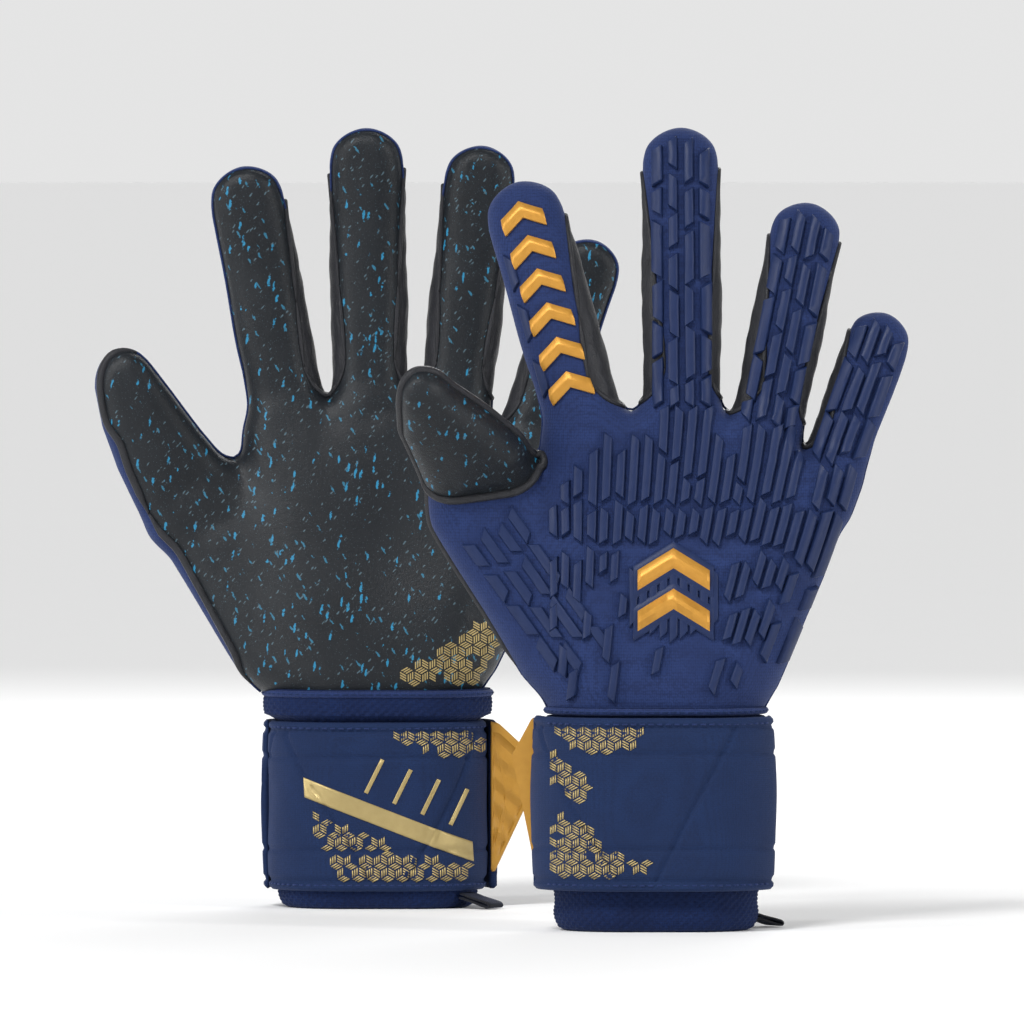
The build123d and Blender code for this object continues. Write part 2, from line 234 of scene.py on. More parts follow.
class Digit:
    """A finger: its root's middle, its lean towards +X, its length and width, and its gusseted sides."""

    def __init__(self, name, x, z, lean, length, width, sides):
        self.name = name
        self.x = x
        self.z = z
        self.sin = math.sin(math.radians(lean))
        self.cos = math.cos(math.radians(lean))
        self.length = length
        self.width = width
        self.sides = sides

    def local(self, points, glove):
        """Across, towards the pad from the bent middle line, and along."""
        dx, dz = points[:, 0] - self.x, points[:, 2] - self.z
        across = dx * self.cos - dz * self.sin
        rise = dx * self.sin + dz * self.cos
        half = self.length / 2
        first, second = softplus(rise, 5.0), softplus(rise - half, 5.0)
        along = rise + KNUCKLE_STRETCH * first + MID_STRETCH * second
        pad = glove.pad * (points[:, 1] - glove.y) - KNUCKLE_LEAN * first - MID_LEAN * second
        return across, pad, along

    def point(self, across, pad, along, glove):
        """The place of local coordinates, near enough for putting pieces on the finger."""
        half = self.length / 2
        low, high = 1 + KNUCKLE_STRETCH, 1 + KNUCKLE_STRETCH + MID_STRETCH
        rise = along / low if along < half else half / low + (along - half) / high
        y = pad + KNUCKLE_LEAN * max(rise, 0.0) + MID_LEAN * max(rise - half, 0.0)
        return (
            self.x + across * self.cos + rise * self.sin, glove.y + glove.pad * y,
            self.z - across * self.sin + rise * self.cos,
        )

    def field(self, points, glove):
        across, pad, along = self.local(points, glove)
        share = np.clip(along / self.length, 0, 1)
        half_width = self.width / 2 * (1.0 - 0.05 * share - 0.05 * np.exp(-((along - 6) / 12) ** 2))
        half_depth = 0.39 * self.width * (1.0 - 0.16 * share ** 2)
        near_tip = np.clip((along - self.length + 0.62 * self.width) / (0.62 * self.width), 0, 1)
        half_width = half_width * np.sqrt(1 - 0.6 * near_tip ** 2)
        return rounded(across, pad, along, half_width, half_depth, self.length, -26.0)


class Thumb:
    """A thumb: its hinge, its lean, its tilt towards -Y, and rows of (along, middle, width, depth)."""

    def __init__(self, x, z, lean, tilt, length, rows):
        self.name = "thumb"
        self.x = x
        self.z = z
        self.sin = math.sin(math.radians(lean))
        self.cos = math.cos(math.radians(lean))
        self.tilt = math.radians(tilt)
        self.length = length
        self.rows = np.array(rows)

    def local(self, points, glove):
        dx, dz = points[:, 0] - self.x, points[:, 2] - self.z
        across = dx * self.cos - dz * self.sin
        rise = dx * self.sin + dz * self.cos
        front = -(points[:, 1] - glove.y) - 7.0
        c, s = math.cos(self.tilt), math.sin(self.tilt)
        return across, front * c - rise * s + 7.0, rise * c + front * s

    def field(self, points, glove):
        across, front, along = self.local(points, glove)
        middle, width, depth = (np.interp(along, self.rows[:, 0], self.rows[:, k]) for k in (1, 2, 3))
        return rounded(across - middle, front, along, width / 2, depth / 2, self.length, -14.0)


class Glove:
    """One glove. pad is the Y side that the palm faces, end the X side that the strap ends on."""

    def __init__(self, name, pad, y, cuff_x, strap_low, end, outline, digits, thumb):
        self.name = name
        self.pad = pad
        self.y = y
        self.cuff_x = cuff_x
        self.strap_low = strap_low
        self.end = end
        self.hem_grow = (4.9, 2.6) if pad < 0 else (2.6, 2.6)
        self.outline = np.array(outline)
        self.digits = digits
        self.thumb = thumb
        rows = self.outline
        self.low = np.polyfit(rows[:, 0], rows[:, 1], 3)
        self.high = np.polyfit(rows[:, 0], rows[:, 2], 3)
        self.depth = np.polyfit(rows[:, 0], rows[:, 3], 3)

    def body(self, part):
        return f"{self.name}_{part}"

    def edges(self, z):
        """The hand's lowest and highest x, and its depth, at a height."""
        z = np.clip(z, 70.0, 192.0)
        return np.polyval(self.low, z), np.polyval(self.high, z), np.polyval(self.depth, z)

    def top(self, x):
        """The height of the hand's top, which dips between the fingers and falls away beside them."""
        xs, zs = [self.digits[0].x - 24], [self.digits[0].z - 12]
        for first, second in zip(self.digits, self.digits[1:]):
            xs += [first.x, (first.x + second.x) / 2]
            zs += [first.z + 2, min(first.z, second.z) - 1]
        xs += [self.digits[-1].x, self.digits[-1].x + 20]
        zs += [self.digits[-1].z, self.digits[-1].z - 14]
        return np.interp(x, xs, zs)

    def hand_field(self, points):
        x, y, z = points.T
        low, high, depth = self.edges(z)
        gather = 1.6 * np.clip((84 - z) / 7, 0, 1)
        half_width, half_depth = (high - low) / 2 - gather, depth / 2 - gather
        v = self.pad * (y - self.y)
        middle = (low + high) / 2
        hollow = 2.6 * np.exp(-((x - middle) / 26) ** 2 - ((z - 128) / 26) ** 2) * (v > 0)
        side = np.maximum(np.abs(x - middle) - (half_width - half_depth), 0)
        section = np.hypot(side, y - self.y) - half_depth + hollow
        return -smooth_min(-section, self.top(x) - z, PALM_SOFTNESS)

    def thenar(self, points):
        """Across and along the thumb's root, an arm from inside the palm to the thumb's hinge."""
        dx, dz = points[:, 0] - self.thumb.x - 40.0, points[:, 2] - self.thumb.z + 55.0
        return dx * THENAR[1] - dz * THENAR[0], dx * THENAR[0] + dz * THENAR[1]

    def thenar_field(self, points):
        across, along = self.thenar(points)
        share = np.clip(along / THENAR_LENGTH, 0, 1)
        width, depth = 25.0 - 5.5 * share - 7.0 * np.clip((10 - along) / 22, 0, 1), 19.0 - 7.5 * share
        return rounded(across + 2.5, points[:, 1] - self.y, along, width, depth, THENAR_LENGTH + 10.0, -10.0)

    def fingers(self, points):
        return np.stack([digit.field(points, self) for digit in self.digits])

    def field(self, points):
        palm = smooth_min(self.hand_field(points), self.thenar_field(points), PALM_SOFTNESS)
        fingers = self.fingers(points)
        joined = fingers[0]
        for other in fingers[1:]:
            joined = smooth_min(joined, other, FINGER_SOFTNESS)
        whole = smooth_min(palm, joined, ROOT_SOFTNESS)
        whole = smooth_min(whole, self.thumb.field(points, self), ROOT_SOFTNESS)
        return whole + self.creases(points)

    def creases(self, points):
        """Soft low waves, so that no face of the glove is ruled."""
        x, y, z = (points / 10).T
        return 0.28 * np.sin(1.1 * x + 0.7 * z + 0.4 * y) * np.sin(0.9 * z - 0.5 * x + 1.3)


def softplus(value, soft):
    return soft * np.logaddexp(0.0, value / soft)


def smooth_min(a, b, k):
    """The lower of two fields, rounded where they meet. k is the width of the rounding."""
    h = np.clip(0.5 + 0.5 * (b - a) / k, 0, 1)
    return b + (a - b) * h - k * h * (1 - h)


def rounded(across, pad, along, half_width, half_depth, top, bottom):
    """The distance to a bar with a rounded section and a domed end."""
    r = 0.93 * half_depth
    x = np.maximum(np.abs(across) - np.maximum(half_width - r, 0), 0)
    y = np.maximum(np.abs(pad) - (half_depth - r), 0)
    z = np.maximum(np.maximum(along - (top - r), bottom + r - along), 0)
    return np.sqrt(x * x + y * y + z * z) - np.minimum(r, half_width)


LEFT = Glove(
    "left", -1, 95.9, -43.3, 6.5, 1,
    ((77, -81.8, -5, 48), (113, -88, 11, 42), (147, -91, 20, 32), (192, -91, 26.5, 23)),
    (
        Digit("index", -76.2, 182.0, -10.8, 85.5, 28.5, {1: (4.6, 7.0)}),
        Digit("middle", -45.8, 185.9, -1.0, 94.0, 28.5, {-1: (4.4, 6.5), 1: (4.4, 6.5)}),
        Digit("ring", -15.0, 184.5, 6.2, 89.5, 27.5, {-1: (4.4, 6.5), 1: (4.4, 6.5)}),
        Digit("pinky", 11.6, 170.0, 19.0, 73.0, 25.0, {-1: (4.4, 6.0)}),
    ),
    Thumb(
        -104.5, 145.0, -26.0, 14.0, 62.5,
        ((0, -4.5, 38, 24), (23, -7, 33, 22), (39, -7.5, 28.5, 20), (53, -7, 22, 17), (62, -6, 15, 14)),
    ),
)
RIGHT = Glove(
    "right", 1, -74.1, 54.6, 14.5, -1,
    ((77, 16, 93.6, 48), (113, 16, 109, 42), (147, 15, 122, 32), (192, 14, 132, 23)),
    (
        Digit("index", 28.3, 181.2, -15.8, 83.5, 29.0, {1: (4.5, 8.5)}),
        Digit("middle", 63.6, 186.4, -0.3, 94.5, 28.5, {-1: (4.5, 7.5), 1: (4.0, 4.0)}),
        Digit("ring", 94.0, 180.0, 11.5, 75.5, 26.5, {-1: (4.5, 8.5), 1: (4.0, 3.5)}),
        Digit("pinky", 117.6, 165.5, 20.0, 53.0, 23.5, {-1: (4.0, 5.5)}),
    ),
    Thumb(
        -4.5, 151.0, -8.0, 50.0, 62.0,
        ((0, 0, 40, 23), (18, -4, 38, 21), (35, -10.5, 31, 19), (50, -15, 20, 16), (62, -17, 12, 12)),
    ),
)


# ---------------------------------------------------------------- meshing

def surface_net(field, low, high, cell):
    """The zero surface of a field as points and triangles."""
    axes = [np.arange(a, b, cell) for a, b in zip(low, high)]
    shape = tuple(len(axis) for axis in axes)
    value = field(np.stack(np.meshgrid(*axes, indexing="ij"), -1).reshape(-1, 3)).reshape(shape)
    cells = tuple(n - 1 for n in shape)
    total, count, quads = np.zeros(cells + (3,)), np.zeros(cells), []
    for k in range(3):
        a = np.take(value, np.arange(cells[k]), axis=k)
        b = np.take(value, np.arange(1, shape[k]), axis=k)
        index = np.argwhere((a < 0) != (b < 0))
        start, stop = a[tuple(index.T)], b[tuple(index.T)]
        crossing = index.astype(float)
        crossing[:, k] += start / (start - stop)
        p, q = (k + 1) % 3, (k + 2) % 3
        inner = (index[:, p] > 0) & (index[:, q] > 0) & (index[:, p] < cells[p]) & (index[:, q] < cells[q])
        index, crossing, start = index[inner], crossing[inner], start[inner]
        around = []
        for step_p, step_q in ((0, 0), (-1, 0), (-1, -1), (0, -1)):
            corner = index.copy()
            corner[:, p] += step_p
            corner[:, q] += step_q
            np.add.at(total, tuple(corner.T), crossing)
            np.add.at(count, tuple(corner.T), 1)
            around.append(np.ravel_multi_index(tuple(corner.T), cells))
        quad = np.stack(around, 1)
        quad[start > 0] = quad[start > 0][:, ::-1]
        quads.append(quad)
    quads = np.concatenate(quads)
    used, quads = np.unique(quads, return_inverse=True)
    quads = quads.reshape(-1, 4)
    points = total.reshape(-1, 3)[used] / count.reshape(-1)[used][:, None]
    points = points * cell + np.array(low)
    return points, np.concatenate([quads[:, [0, 1, 2]], quads[:, [0, 2, 3]]])


def gradient(field, points, step=0.3):
    """A field's slope at the points."""
    parts = []
    for k in range(3):
        shift = np.zeros(3)
        shift[k] = step
        parts.append((field(points + shift) - field(points - shift)) / (2 * step))
    return np.stack(parts, 1)


def unit(vectors):
    return vectors / np.maximum(np.linalg.norm(vectors, axis=1, keepdims=True), 1e-9)


def settle(field, points, rounds=2):
    """Moves the points onto the field's surface."""
    for _ in range(rounds):
        slope = gradient(field, points)
        size = np.maximum((slope ** 2).sum(1), 0.05)
        points = points - np.clip(field(points) / size, -1.5, 1.5)[:, None] * slope
    return points


def cut(points, tris, line, field, snap=0.3):
    """Splits the triangles along the line where a function is zero, after pulling close points onto it."""
    value = line(points)
    slope = gradient(line, points)
    normal = unit(gradient(field, points))
    slope -= (slope * normal).sum(1, keepdims=True) * normal
    size = np.maximum((slope ** 2).sum(1), 1e-4)
    close = np.abs(value) < snap * CELL * np.sqrt(size)
    points = points.copy()
    points[close] -= (value / size)[close, None] * slope[close]
    value = np.where(close, 0.0, value)
    sign = np.sign(value)
    corner = sign[tris]
    crossed = (corner.min(1) < 0) & (corner.max(1) > 0)
    kept, tris = tris[~crossed], tris[crossed]
    if not len(tris):
        return points, kept
    corner = corner[crossed]
    through = (corner == 0).any(1)
    lone = np.where(corner.sum(1) > 0, corner.argmin(1), corner.argmax(1))
    lone[through] = (corner[through] == 0).argmax(1)
    roll = (lone[:, None] + np.arange(3)) % 3
    a, b, c = np.take_along_axis(tris, roll, 1).T
    pairs = np.concatenate([
        np.stack([b, c], 1)[through], np.stack([a, b], 1)[~through], np.stack([a, c], 1)[~through],
    ])
    pairs.sort(axis=1)
    edges, where = np.unique(pairs, axis=0, return_inverse=True)
    where = where.reshape(-1) + len(points)
    v0, v1 = value[edges[:, 0]], value[edges[:, 1]]
    share = (v0 / (v0 - v1))[:, None]
    fresh = points[edges[:, 0]] * (1 - share) + points[edges[:, 1]] * share
    n = through.sum()
    m, (ab, ac) = where[:n], np.split(where[n:], 2)
    a1, b1, c1 = a[through], b[through], c[through]
    a2, b2, c2 = a[~through], b[~through], c[~through]
    pieces = [(a1, b1, m), (a1, m, c1), (a2, ab, ac), (ab, b2, c2), (ab, c2, ac)]
    tris = np.concatenate([kept] + [np.stack(piece, 1) for piece in pieces])
    return np.concatenate([points, fresh]), tris


def sides_of(tris):
    """The three edges of each triangle, in its direction."""
    return np.concatenate([tris[:, [0, 1]], tris[:, [1, 2]], tris[:, [2, 0]]])


def runs(edges):
    """Chains of points that the edges join, as lists of indices. A closed chain repeats its first."""
    nearby = {}
    for a, b in edges:
        nearby.setdefault(int(a), set()).add(int(b))
        nearby.setdefault(int(b), set()).add(int(a))
    chains = []
    ends = [point for point, others in nearby.items() if len(others) != 2] + list(nearby)
    for start in ends:
        while nearby[start]:
            chain = [start]
            while nearby[chain[-1]]:
                following = nearby[chain[-1]].pop()
                nearby[following].discard(chain[-1])
                chain.append(following)
                if len(nearby[following]) != 1:
                    break
            chains.append(chain)
    return chains


def smooth_run(path, rounds=6):
    """A path with its small steps evened out. A closed path stays closed."""
    path = np.array(path, float)
    closed = np.allclose(path[0], path[-1])
    for _ in range(rounds):
        inner = (path[:-2] + 2 * path[1:-1] + path[2:]) / 4
        if closed:
            ends = (path[-2] + 2 * path[0] + path[1]) / 4
            path = np.concatenate([ends[None], inner, ends[None]])
        else:
            path = np.concatenate([path[:1], inner, path[-1:]])
    return path


def resample(path, step):
    """A path with even steps of about the given length."""
    lengths = np.concatenate([[0], np.cumsum(np.linalg.norm(np.diff(path, axis=0), axis=1))])
    n = max(int(lengths[-1] / step), 2)
    at = np.linspace(0, lengths[-1], n + 1)
    return np.stack([np.interp(at, lengths, path[:, k]) for k in range(3)], 1)


# ---------------------------------------------------------------- materials

class Look:
    """A material under construction."""

    def __init__(self, name, roughness, base=(0.5, 0.5, 0.5), **sockets):
        self.material = bpy.data.materials.new(name)
        self.material.use_nodes = True
        self.tree = self.material.node_tree
        self.shader = self.tree.nodes["Principled BSDF"]
        self.shader.inputs["Base Color"].default_value = (*base, 1)
        self.shader.inputs["Roughness"].default_value = roughness
        for socket, value in sockets.items():
            self.shader.inputs[socket.replace("_", " ")].default_value = value
        self.place = self.node("ShaderNodeAttribute").outputs["Vector"]
        self.place.node.attribute_name = "rest"
        self.material.diffuse_color = (*base, 1)

    def node(self, kind, **settings):
        node = self.tree.nodes.new(kind)
        for key, value in settings.items():
            setattr(node, key, value)
        return node

    def feed(self, socket, value):
        if isinstance(value, bpy.types.NodeSocket):
            self.tree.links.new(value, socket)
        else:
            socket.default_value = value

    def math(self, operation, a, b=0.0, c=0.0, clamp=False):
        node = self.node("ShaderNodeMath", operation=operation, use_clamp=clamp)
        for socket, value in zip(node.inputs, (a, b, c)):
            self.feed(socket, value)
        return node.outputs[0]

    def scaled(self, x, y, z, turn=(0, 0, 0)):
        """The rest place in millimetres, turned and then scaled."""
        node = self.node("ShaderNodeMapping", vector_type="TEXTURE")
        self.feed(node.inputs["Vector"], self.place)
        node.inputs["Rotation"].default_value = turn
        node.inputs["Scale"].default_value = (x, y, z)
        return node.outputs[0]

    def noise(self, vector, scale=1.0, detail=3.0, roughness=0.5):
        node = self.node("ShaderNodeTexNoise")
        self.feed(node.inputs["Vector"], vector)
        node.inputs["Scale"].default_value = scale
        node.inputs["Detail"].default_value = detail
        node.inputs["Roughness"].default_value = roughness
        return node.outputs["Fac"]

    def voronoi(self, vector, scale=1.0, feature="F1", output="Distance", randomness=1.0):
        node = self.node("ShaderNodeTexVoronoi", feature=feature)
        self.feed(node.inputs["Vector"], vector)
        node.inputs["Scale"].default_value = scale
        node.inputs["Randomness"].default_value = randomness
        return node.outputs[output]

    def steps(self, value, low, high):
        """0 below low, 1 above high, smooth between."""
        node = self.node("ShaderNodeMapRange", interpolation_type="SMOOTHSTEP")
        self.feed(node.inputs["Value"], value)
        node.inputs["From Min"].default_value = low
        node.inputs["From Max"].default_value = high
        return node.outputs[0]

    def mix(self, share, a, b):
        node = self.node("ShaderNodeMix", data_type="RGBA")
        self.feed(node.inputs["Factor"], share)
        sockets = [socket for socket in node.inputs if socket.type == "RGBA"]
        for socket, value in zip(sockets, (a, b)):
            self.feed(socket, (*value, 1) if isinstance(value, tuple) else value)
        return [socket for socket in node.outputs if socket.type == "RGBA"][0]

    def colour(self, value):
        self.feed(self.shader.inputs["Base Color"], value)

    def rough(self, value):
        self.feed(self.shader.inputs["Roughness"], value)

    def bump(self, height, distance, strength=1.0):
        node = self.node("ShaderNodeBump")
        node.inputs["Strength"].default_value = strength
        node.inputs["Distance"].default_value = distance * MM
        self.feed(node.inputs["Height"], height)
        if self.shader.inputs["Normal"].is_linked:
            self.feed(node.inputs["Normal"], self.shader.inputs["Normal"].links[0].from_socket)
        self.feed(self.shader.inputs["Normal"], node.outputs[0])
        return self


def flecked_latex():
    """Near-black foam latex with ragged blue flecks of three sizes and fine pale dots."""
    look = Look("flecked_latex", 0.46, (0.007, 0.0085, 0.0105), Specular_IOR_Level=0.28)
    grain = look.noise(look.scaled(1, 1, 1), 0.9, 5.0, 0.65)
    colour = look.mix(look.noise(look.scaled(1, 1, 1), 0.05), (0.005, 0.0065, 0.009), (0.014, 0.017, 0.021))
    layers = (
        ((0.9, 3.0, 3.0), (0, 0.15, 0), 0.62, 0.24, (0.02, 0.19, 0.34)),
        ((0.8, 3.4, 2.6), (0, -0.55, 0), 0.60, 0.22, (0.025, 0.13, 0.21)),
        ((0.55, 1.6, 1.5), (0, 0.7, 0), 0.50, 0.22, (0.06, 0.10, 0.125)),
    )
    for scale, turn, keep, size, tone in layers:
        ripple = look.node("ShaderNodeTexNoise")
        look.feed(ripple.inputs["Vector"], look.place)
        ripple.inputs["Scale"].default_value = 0.9
        warp = look.node("ShaderNodeVectorMath", operation="MULTIPLY_ADD")
        look.feed(warp.inputs[0], ripple.outputs["Color"])
        warp.inputs[1].default_value = (1.3, 1.3, 1.3)
        look.feed(warp.inputs[2], look.scaled(*scale, turn=turn))
        cells = look.node("ShaderNodeTexVoronoi")
        look.feed(cells.inputs["Vector"], warp.outputs[0])
        cells.inputs["Scale"].default_value = 0.42
        ragged = look.math("ADD", cells.outputs["Distance"], look.math("MULTIPLY", grain, 0.22))
        fleck = look.math("SUBTRACT", 1.0, look.steps(ragged, size + 0.05, size + 0.13))
        split = look.node("ShaderNodeSeparateColor")
        look.feed(split.inputs[0], cells.outputs["Color"])
        chosen = look.math("GREATER_THAN", split.outputs[0], keep)
        colour = look.mix(look.math("MULTIPLY", fleck, chosen), colour, tone)
    dots = look.math("SUBTRACT", 1.0, look.steps(look.voronoi(look.scaled(1, 1, 1), 1.1), 0.1, 0.2))
    colour = look.mix(look.math("MULTIPLY", dots, 0.4), colour, (0.07, 0.12, 0.15))
    look.colour(colour)
    look.rough(look.math("ADD", look.math("MULTIPLY", grain, 0.22), 0.3))
    look.bump(look.noise(look.scaled(1, 1, 1), 2.6, 3.0), 0.12).bump(grain, 0.3, 0.5)
    return look.material


def knit_fabric(name, tone, dark, pitch=0.75, sheen=0.25):
    """A fine knit: rows of small loops with soft tone changes."""
    look = Look(name, 0.8, tone, Sheen_Weight=sheen, Sheen_Roughness=0.5, Specular_IOR_Level=0.2)
    look.shader.inputs["Sheen Tint"].default_value = (0.45, 0.55, 1.0, 1)
    loops = look.voronoi(look.scaled(pitch, pitch, pitch * 1.4), 1.0, randomness=0.35)
    cloud = look.noise(look.scaled(1, 1, 1), 0.08, 4.0)
    tones = look.mix(cloud, dark, tone)
    look.colour(look.mix(look.steps(loops, 0.35, 0.75), tones, dark))
    look.bump(look.math("SUBTRACT", 1.0, loops), 0.22, 0.7)
    return look.material


def moulding(name, tone, light, roughness, metallic=0.0, shine=0.4):
    """Moulded rubber or print, with a soft cloud of a lighter tone."""
    look = Look(name, roughness, tone, Metallic=metallic, Specular_IOR_Level=shine)
    cloud = look.noise(look.scaled(1, 1, 1), 0.35, 5.0)
    look.colour(look.mix(cloud, tone, light))
    look.rough(look.math("ADD", look.math("MULTIPLY", cloud, 0.18), roughness - 0.08))
    look.bump(look.noise(look.scaled(1, 1, 1), 3.0, 4.0), 0.06)
    return look.material


def leather(name="black_leather", tone=(0.012, 0.0125, 0.015)):
    """Grained synthetic leather with soft folds, whose crests carry a painted highlight."""
    look = Look(name, 0.5, tone, Specular_IOR_Level=0.32)
    grain = look.voronoi(look.scaled(1, 1, 1), 1.6, "DISTANCE_TO_EDGE")
    fold = look.noise(look.scaled(1.2, 1.2, 4.0), 0.45, 4.0)
    # Painted highlight: the colour is up to 2.4 times lighter where the fold noise raises the surface
    look.colour(look.mix(fold, tone, tuple(2.4 * t for t in tone)))
    look.rough(look.math("ADD", look.math("MULTIPLY", fold, 0.3), 0.3))
    look.bump(look.steps(grain, 0.0, 0.12), 0.08).bump(fold, 0.5)
    return look.material


LATEX = flecked_latex()
NAVY = knit_fabric("navy_knit_fabric", (0.018, 0.038, 0.135), (0.008, 0.017, 0.066), sheen=0.15)
STRAP_CLOTH = knit_fabric("strap_cloth", (0.008, 0.025, 0.088), (0.005, 0.014, 0.05), 0.5, 0.08)
CUFF_KNIT = knit_fabric("cuff_knit", (0.004, 0.019, 0.088), (0.001, 0.006, 0.034), 0.6, 0.06)
MOULDED = moulding("moulded_navy", (0.009, 0.018, 0.062), (0.014, 0.026, 0.082), 0.4, shine=0.2)
GOLD = moulding("moulded_gold", (0.46, 0.215, 0.03), (0.62, 0.31, 0.05), 0.4, 0.45)
GOLD_PRINT = moulding("gold_print", (0.36, 0.27, 0.11), (0.46, 0.36, 0.16), 0.4, 0.5)
AMBER = moulding("amber_rubber", (0.40, 0.19, 0.022), (0.50, 0.26, 0.035), 0.45)
LEATHER = leather()
TAPE = knit_fabric("black_tape", (0.02, 0.02, 0.023), (0.006, 0.006, 0.007), 0.5, 0.1)
HOOK = knit_fabric("hook_tape", (0.03, 0.03, 0.035), (0.008, 0.008, 0.01), 0.9, 0.1)


# ---------------------------------------------------------------- pieces

def make(name, points, faces, material, normals=None, rest=None):
    """A mesh object from points in millimetres."""
    mesh = bpy.data.meshes.new(name)
    mesh.from_pydata((np.asarray(points, float) * MM).tolist(), [], [list(map(int, face)) for face in faces])
    mesh.validate()
    mesh.shade_smooth()
    place = mesh.attributes.new("rest", "FLOAT_VECTOR", "POINT")
    place.data.foreach_set("vector", np.asarray(points if rest is None else rest, float).reshape(-1))
    if normals is not None:
        mesh.normals_split_custom_set_from_vertices(unit(np.asarray(normals, float)).tolist())
    mesh.materials.append(material)
    obj = bpy.data.objects.new(name, mesh)
    bpy.context.scene.collection.objects.link(obj)
    return obj


def tube(paths, radius, sides=8, taper=lambda k, n: 1.0):
    """Round cords along paths, as points and faces. A closed path makes a ring."""
    points, faces = [], []
    for path in paths:
        path = np.asarray(path, float)
        closed = np.allclose(path[0], path[-1])
        if closed:
            path = path[:-1]
        if closed:
            along = unit(np.roll(path, -1, 0) - np.roll(path, 1, 0))
        else:
            along = unit(np.gradient(path, axis=0))
        side = unit(np.cross(along, NO_PATH_RUNS_HERE))
        up = np.cross(along, side)
        for k in range(1, len(path)):
            side[k] = side[k - 1] - along[k] * (side[k - 1] @ along[k])
            side[k] /= np.linalg.norm(side[k])
            up[k] = np.cross(along[k], side[k])
        base, n = len(points), len(path)
        for k in range(n):
            for j in range(sides):
                angle = 2 * math.pi * j / sides
                offset = side[k] * math.cos(angle) + up[k] * math.sin(angle)
                points.append(path[k] + offset * radius * (1.0 if closed else taper(k, n)))
        for k in range(n if closed else n - 1):
            for j in range(sides):
                a, b = base + k * sides, base + (k + 1) % n * sides
                faces.append((a + j, a + (j + 1) % sides, b + (j + 1) % sides, b + j))
        if not closed:
            faces.append(tuple(base + j for j in reversed(range(sides))))
            faces.append(tuple(base + (n - 1) * sides + j for j in range(sides)))
    return points, faces


def dashes(path, length, gap):
    """A path broken into stitches."""
    fine = resample(path, 0.6)
    step, keep = int((length + gap) / 0.6), int(length / 0.6) + 1
    return [fine[k:k + keep] for k in range(0, len(fine) - keep, step)]


def fix(obj, body, slot, *nodes):
    """Rides a piece on a body, gives its finish, and names the CAD nodes that it stands for."""
    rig.ride(obj, body)
    if nodes:
        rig.replaces(obj, *nodes)
    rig.slot(obj, slot)


class Places:
    """Where points are on a glove: the nearest finger, their coordinates there, and those on the thumb."""

    def __init__(self, points, glove):
        spots = np.array([digit.local(points, glove) for digit in glove.digits])
        fields = glove.fingers(points)
        self.digit = fields.argmin(0)
        row = np.arange(len(points))
        self.across, self.pad, self.along = spots[self.digit, :, row].T
        self.near = fields.min(0)
        self.half = np.array([digit.width / 2 for digit in glove.digits])[self.digit]
        self.length = np.array([digit.length for digit in glove.digits])[self.digit]
        self.thumb_across, self.thumb_front, self.thumb_along = glove.thumb.local(points, glove)
        self.thumb_near = glove.thumb.field(points, glove)


def root_line(points, glove):
    at = Places(points, glove)
    return np.minimum(at.along - ROOT_SEAM, 6 - at.near)


def mid_line(points, glove):
    at = Places(points, glove)
    return np.minimum(at.along - MID_SEAM * at.length, 6 - at.near)


def thumb_line(points, glove):
    at = Places(points, glove)
    return np.minimum(at.thumb_along - THUMB_SEAM, 3.5 - at.thumb_near)


def palm_line(points, glove):
    """Above zero on the palm side of the border between latex and fabric."""
    at = Places(points, glove)
    on_finger = np.clip(at.along / 12, 0, 1) * (at.near < 8)
    flat = glove.pad * (points[:, 1] - glove.y)
    across, along = glove.thenar(points)
    outer = np.clip((-9 - across) / 9, 0, 1) * np.clip((along + 4) / 22, 0, 1) * (on_finger == 0)
    return flat * (1 - on_finger) + at.pad * on_finger - 1.5 - 2.4 * on_finger - 8.5 * outer * (glove.pad < 0)


def thumb_front_line(points, glove):
    at = Places(points, glove)
    rows = glove.thumb.rows
    middle = np.interp(at.thumb_along, rows[:, 0], rows[:, 1])
    outer = np.clip((middle - 1 - at.thumb_across) / 8, 0, 1)
    if glove.pad > 0:
        return at.thumb_front + 3.5 - 5.0 * outer
    return at.thumb_front - 1.5 - 7.2 * outer * np.clip((54 - at.thumb_along) / 20, 0.55, 1)


def gusset_line(points, glove):
    """Above zero in the leather between the fingers. It narrows to nothing towards the tip."""
    at = Places(points, glove)
    taper = np.clip(1.15 * (1 - at.along / (0.8 * at.length)), -1, 1)
    on_back = 1 / (1 + np.exp(at.pad / 2.0))
    inner = np.full(len(points), -50.0)
    rise = np.clip((at.along + 6) / 14, 0, 1)
    notch = 0.05 * np.clip(4 - at.along, 0, 40) ** 2
    for number, digit in enumerate(glove.digits):
        for side, (front, back) in digit.sides.items():
            width = (front + (back - front) * on_back) * taper * rise - notch
            value = side * at.across - (at.half - 0.8 - width)
            inner = np.where(at.digit == number, np.maximum(inner, value), inner)
    return np.minimum(inner, 6 - at.near)


def skin_labels(points, glove):
    """Each point's part (hand, finger base or tip, thumb) and its material."""
    at = Places(points, glove)
    on_thumb = thumb_line(points, glove) > 0
    on_finger = (root_line(points, glove) > 0) & ~on_thumb
    on_tip = on_finger & (mid_line(points, glove) > 0)
    part = np.where(on_finger, 1 + 2 * at.digit + on_tip, 0)
    part = np.where(on_thumb, 9, part)
    latex = np.where(on_thumb, thumb_front_line(points, glove) > 0, palm_line(points, glove) > 0)
    stuff = np.where(latex, 0, 1)
    stuff = np.where((gusset_line(points, glove) > 0) & ~on_thumb, 2, stuff)
    return part, stuff


FINGERS = ("index", "middle", "ring", "pinky")
PARTS = ["hand"] + [f"{digit}_{half}" for digit in FINGERS for half in ("base", "tip")] + ["thumb"]
STUFFS = ("latex", "fabric", "gusset")


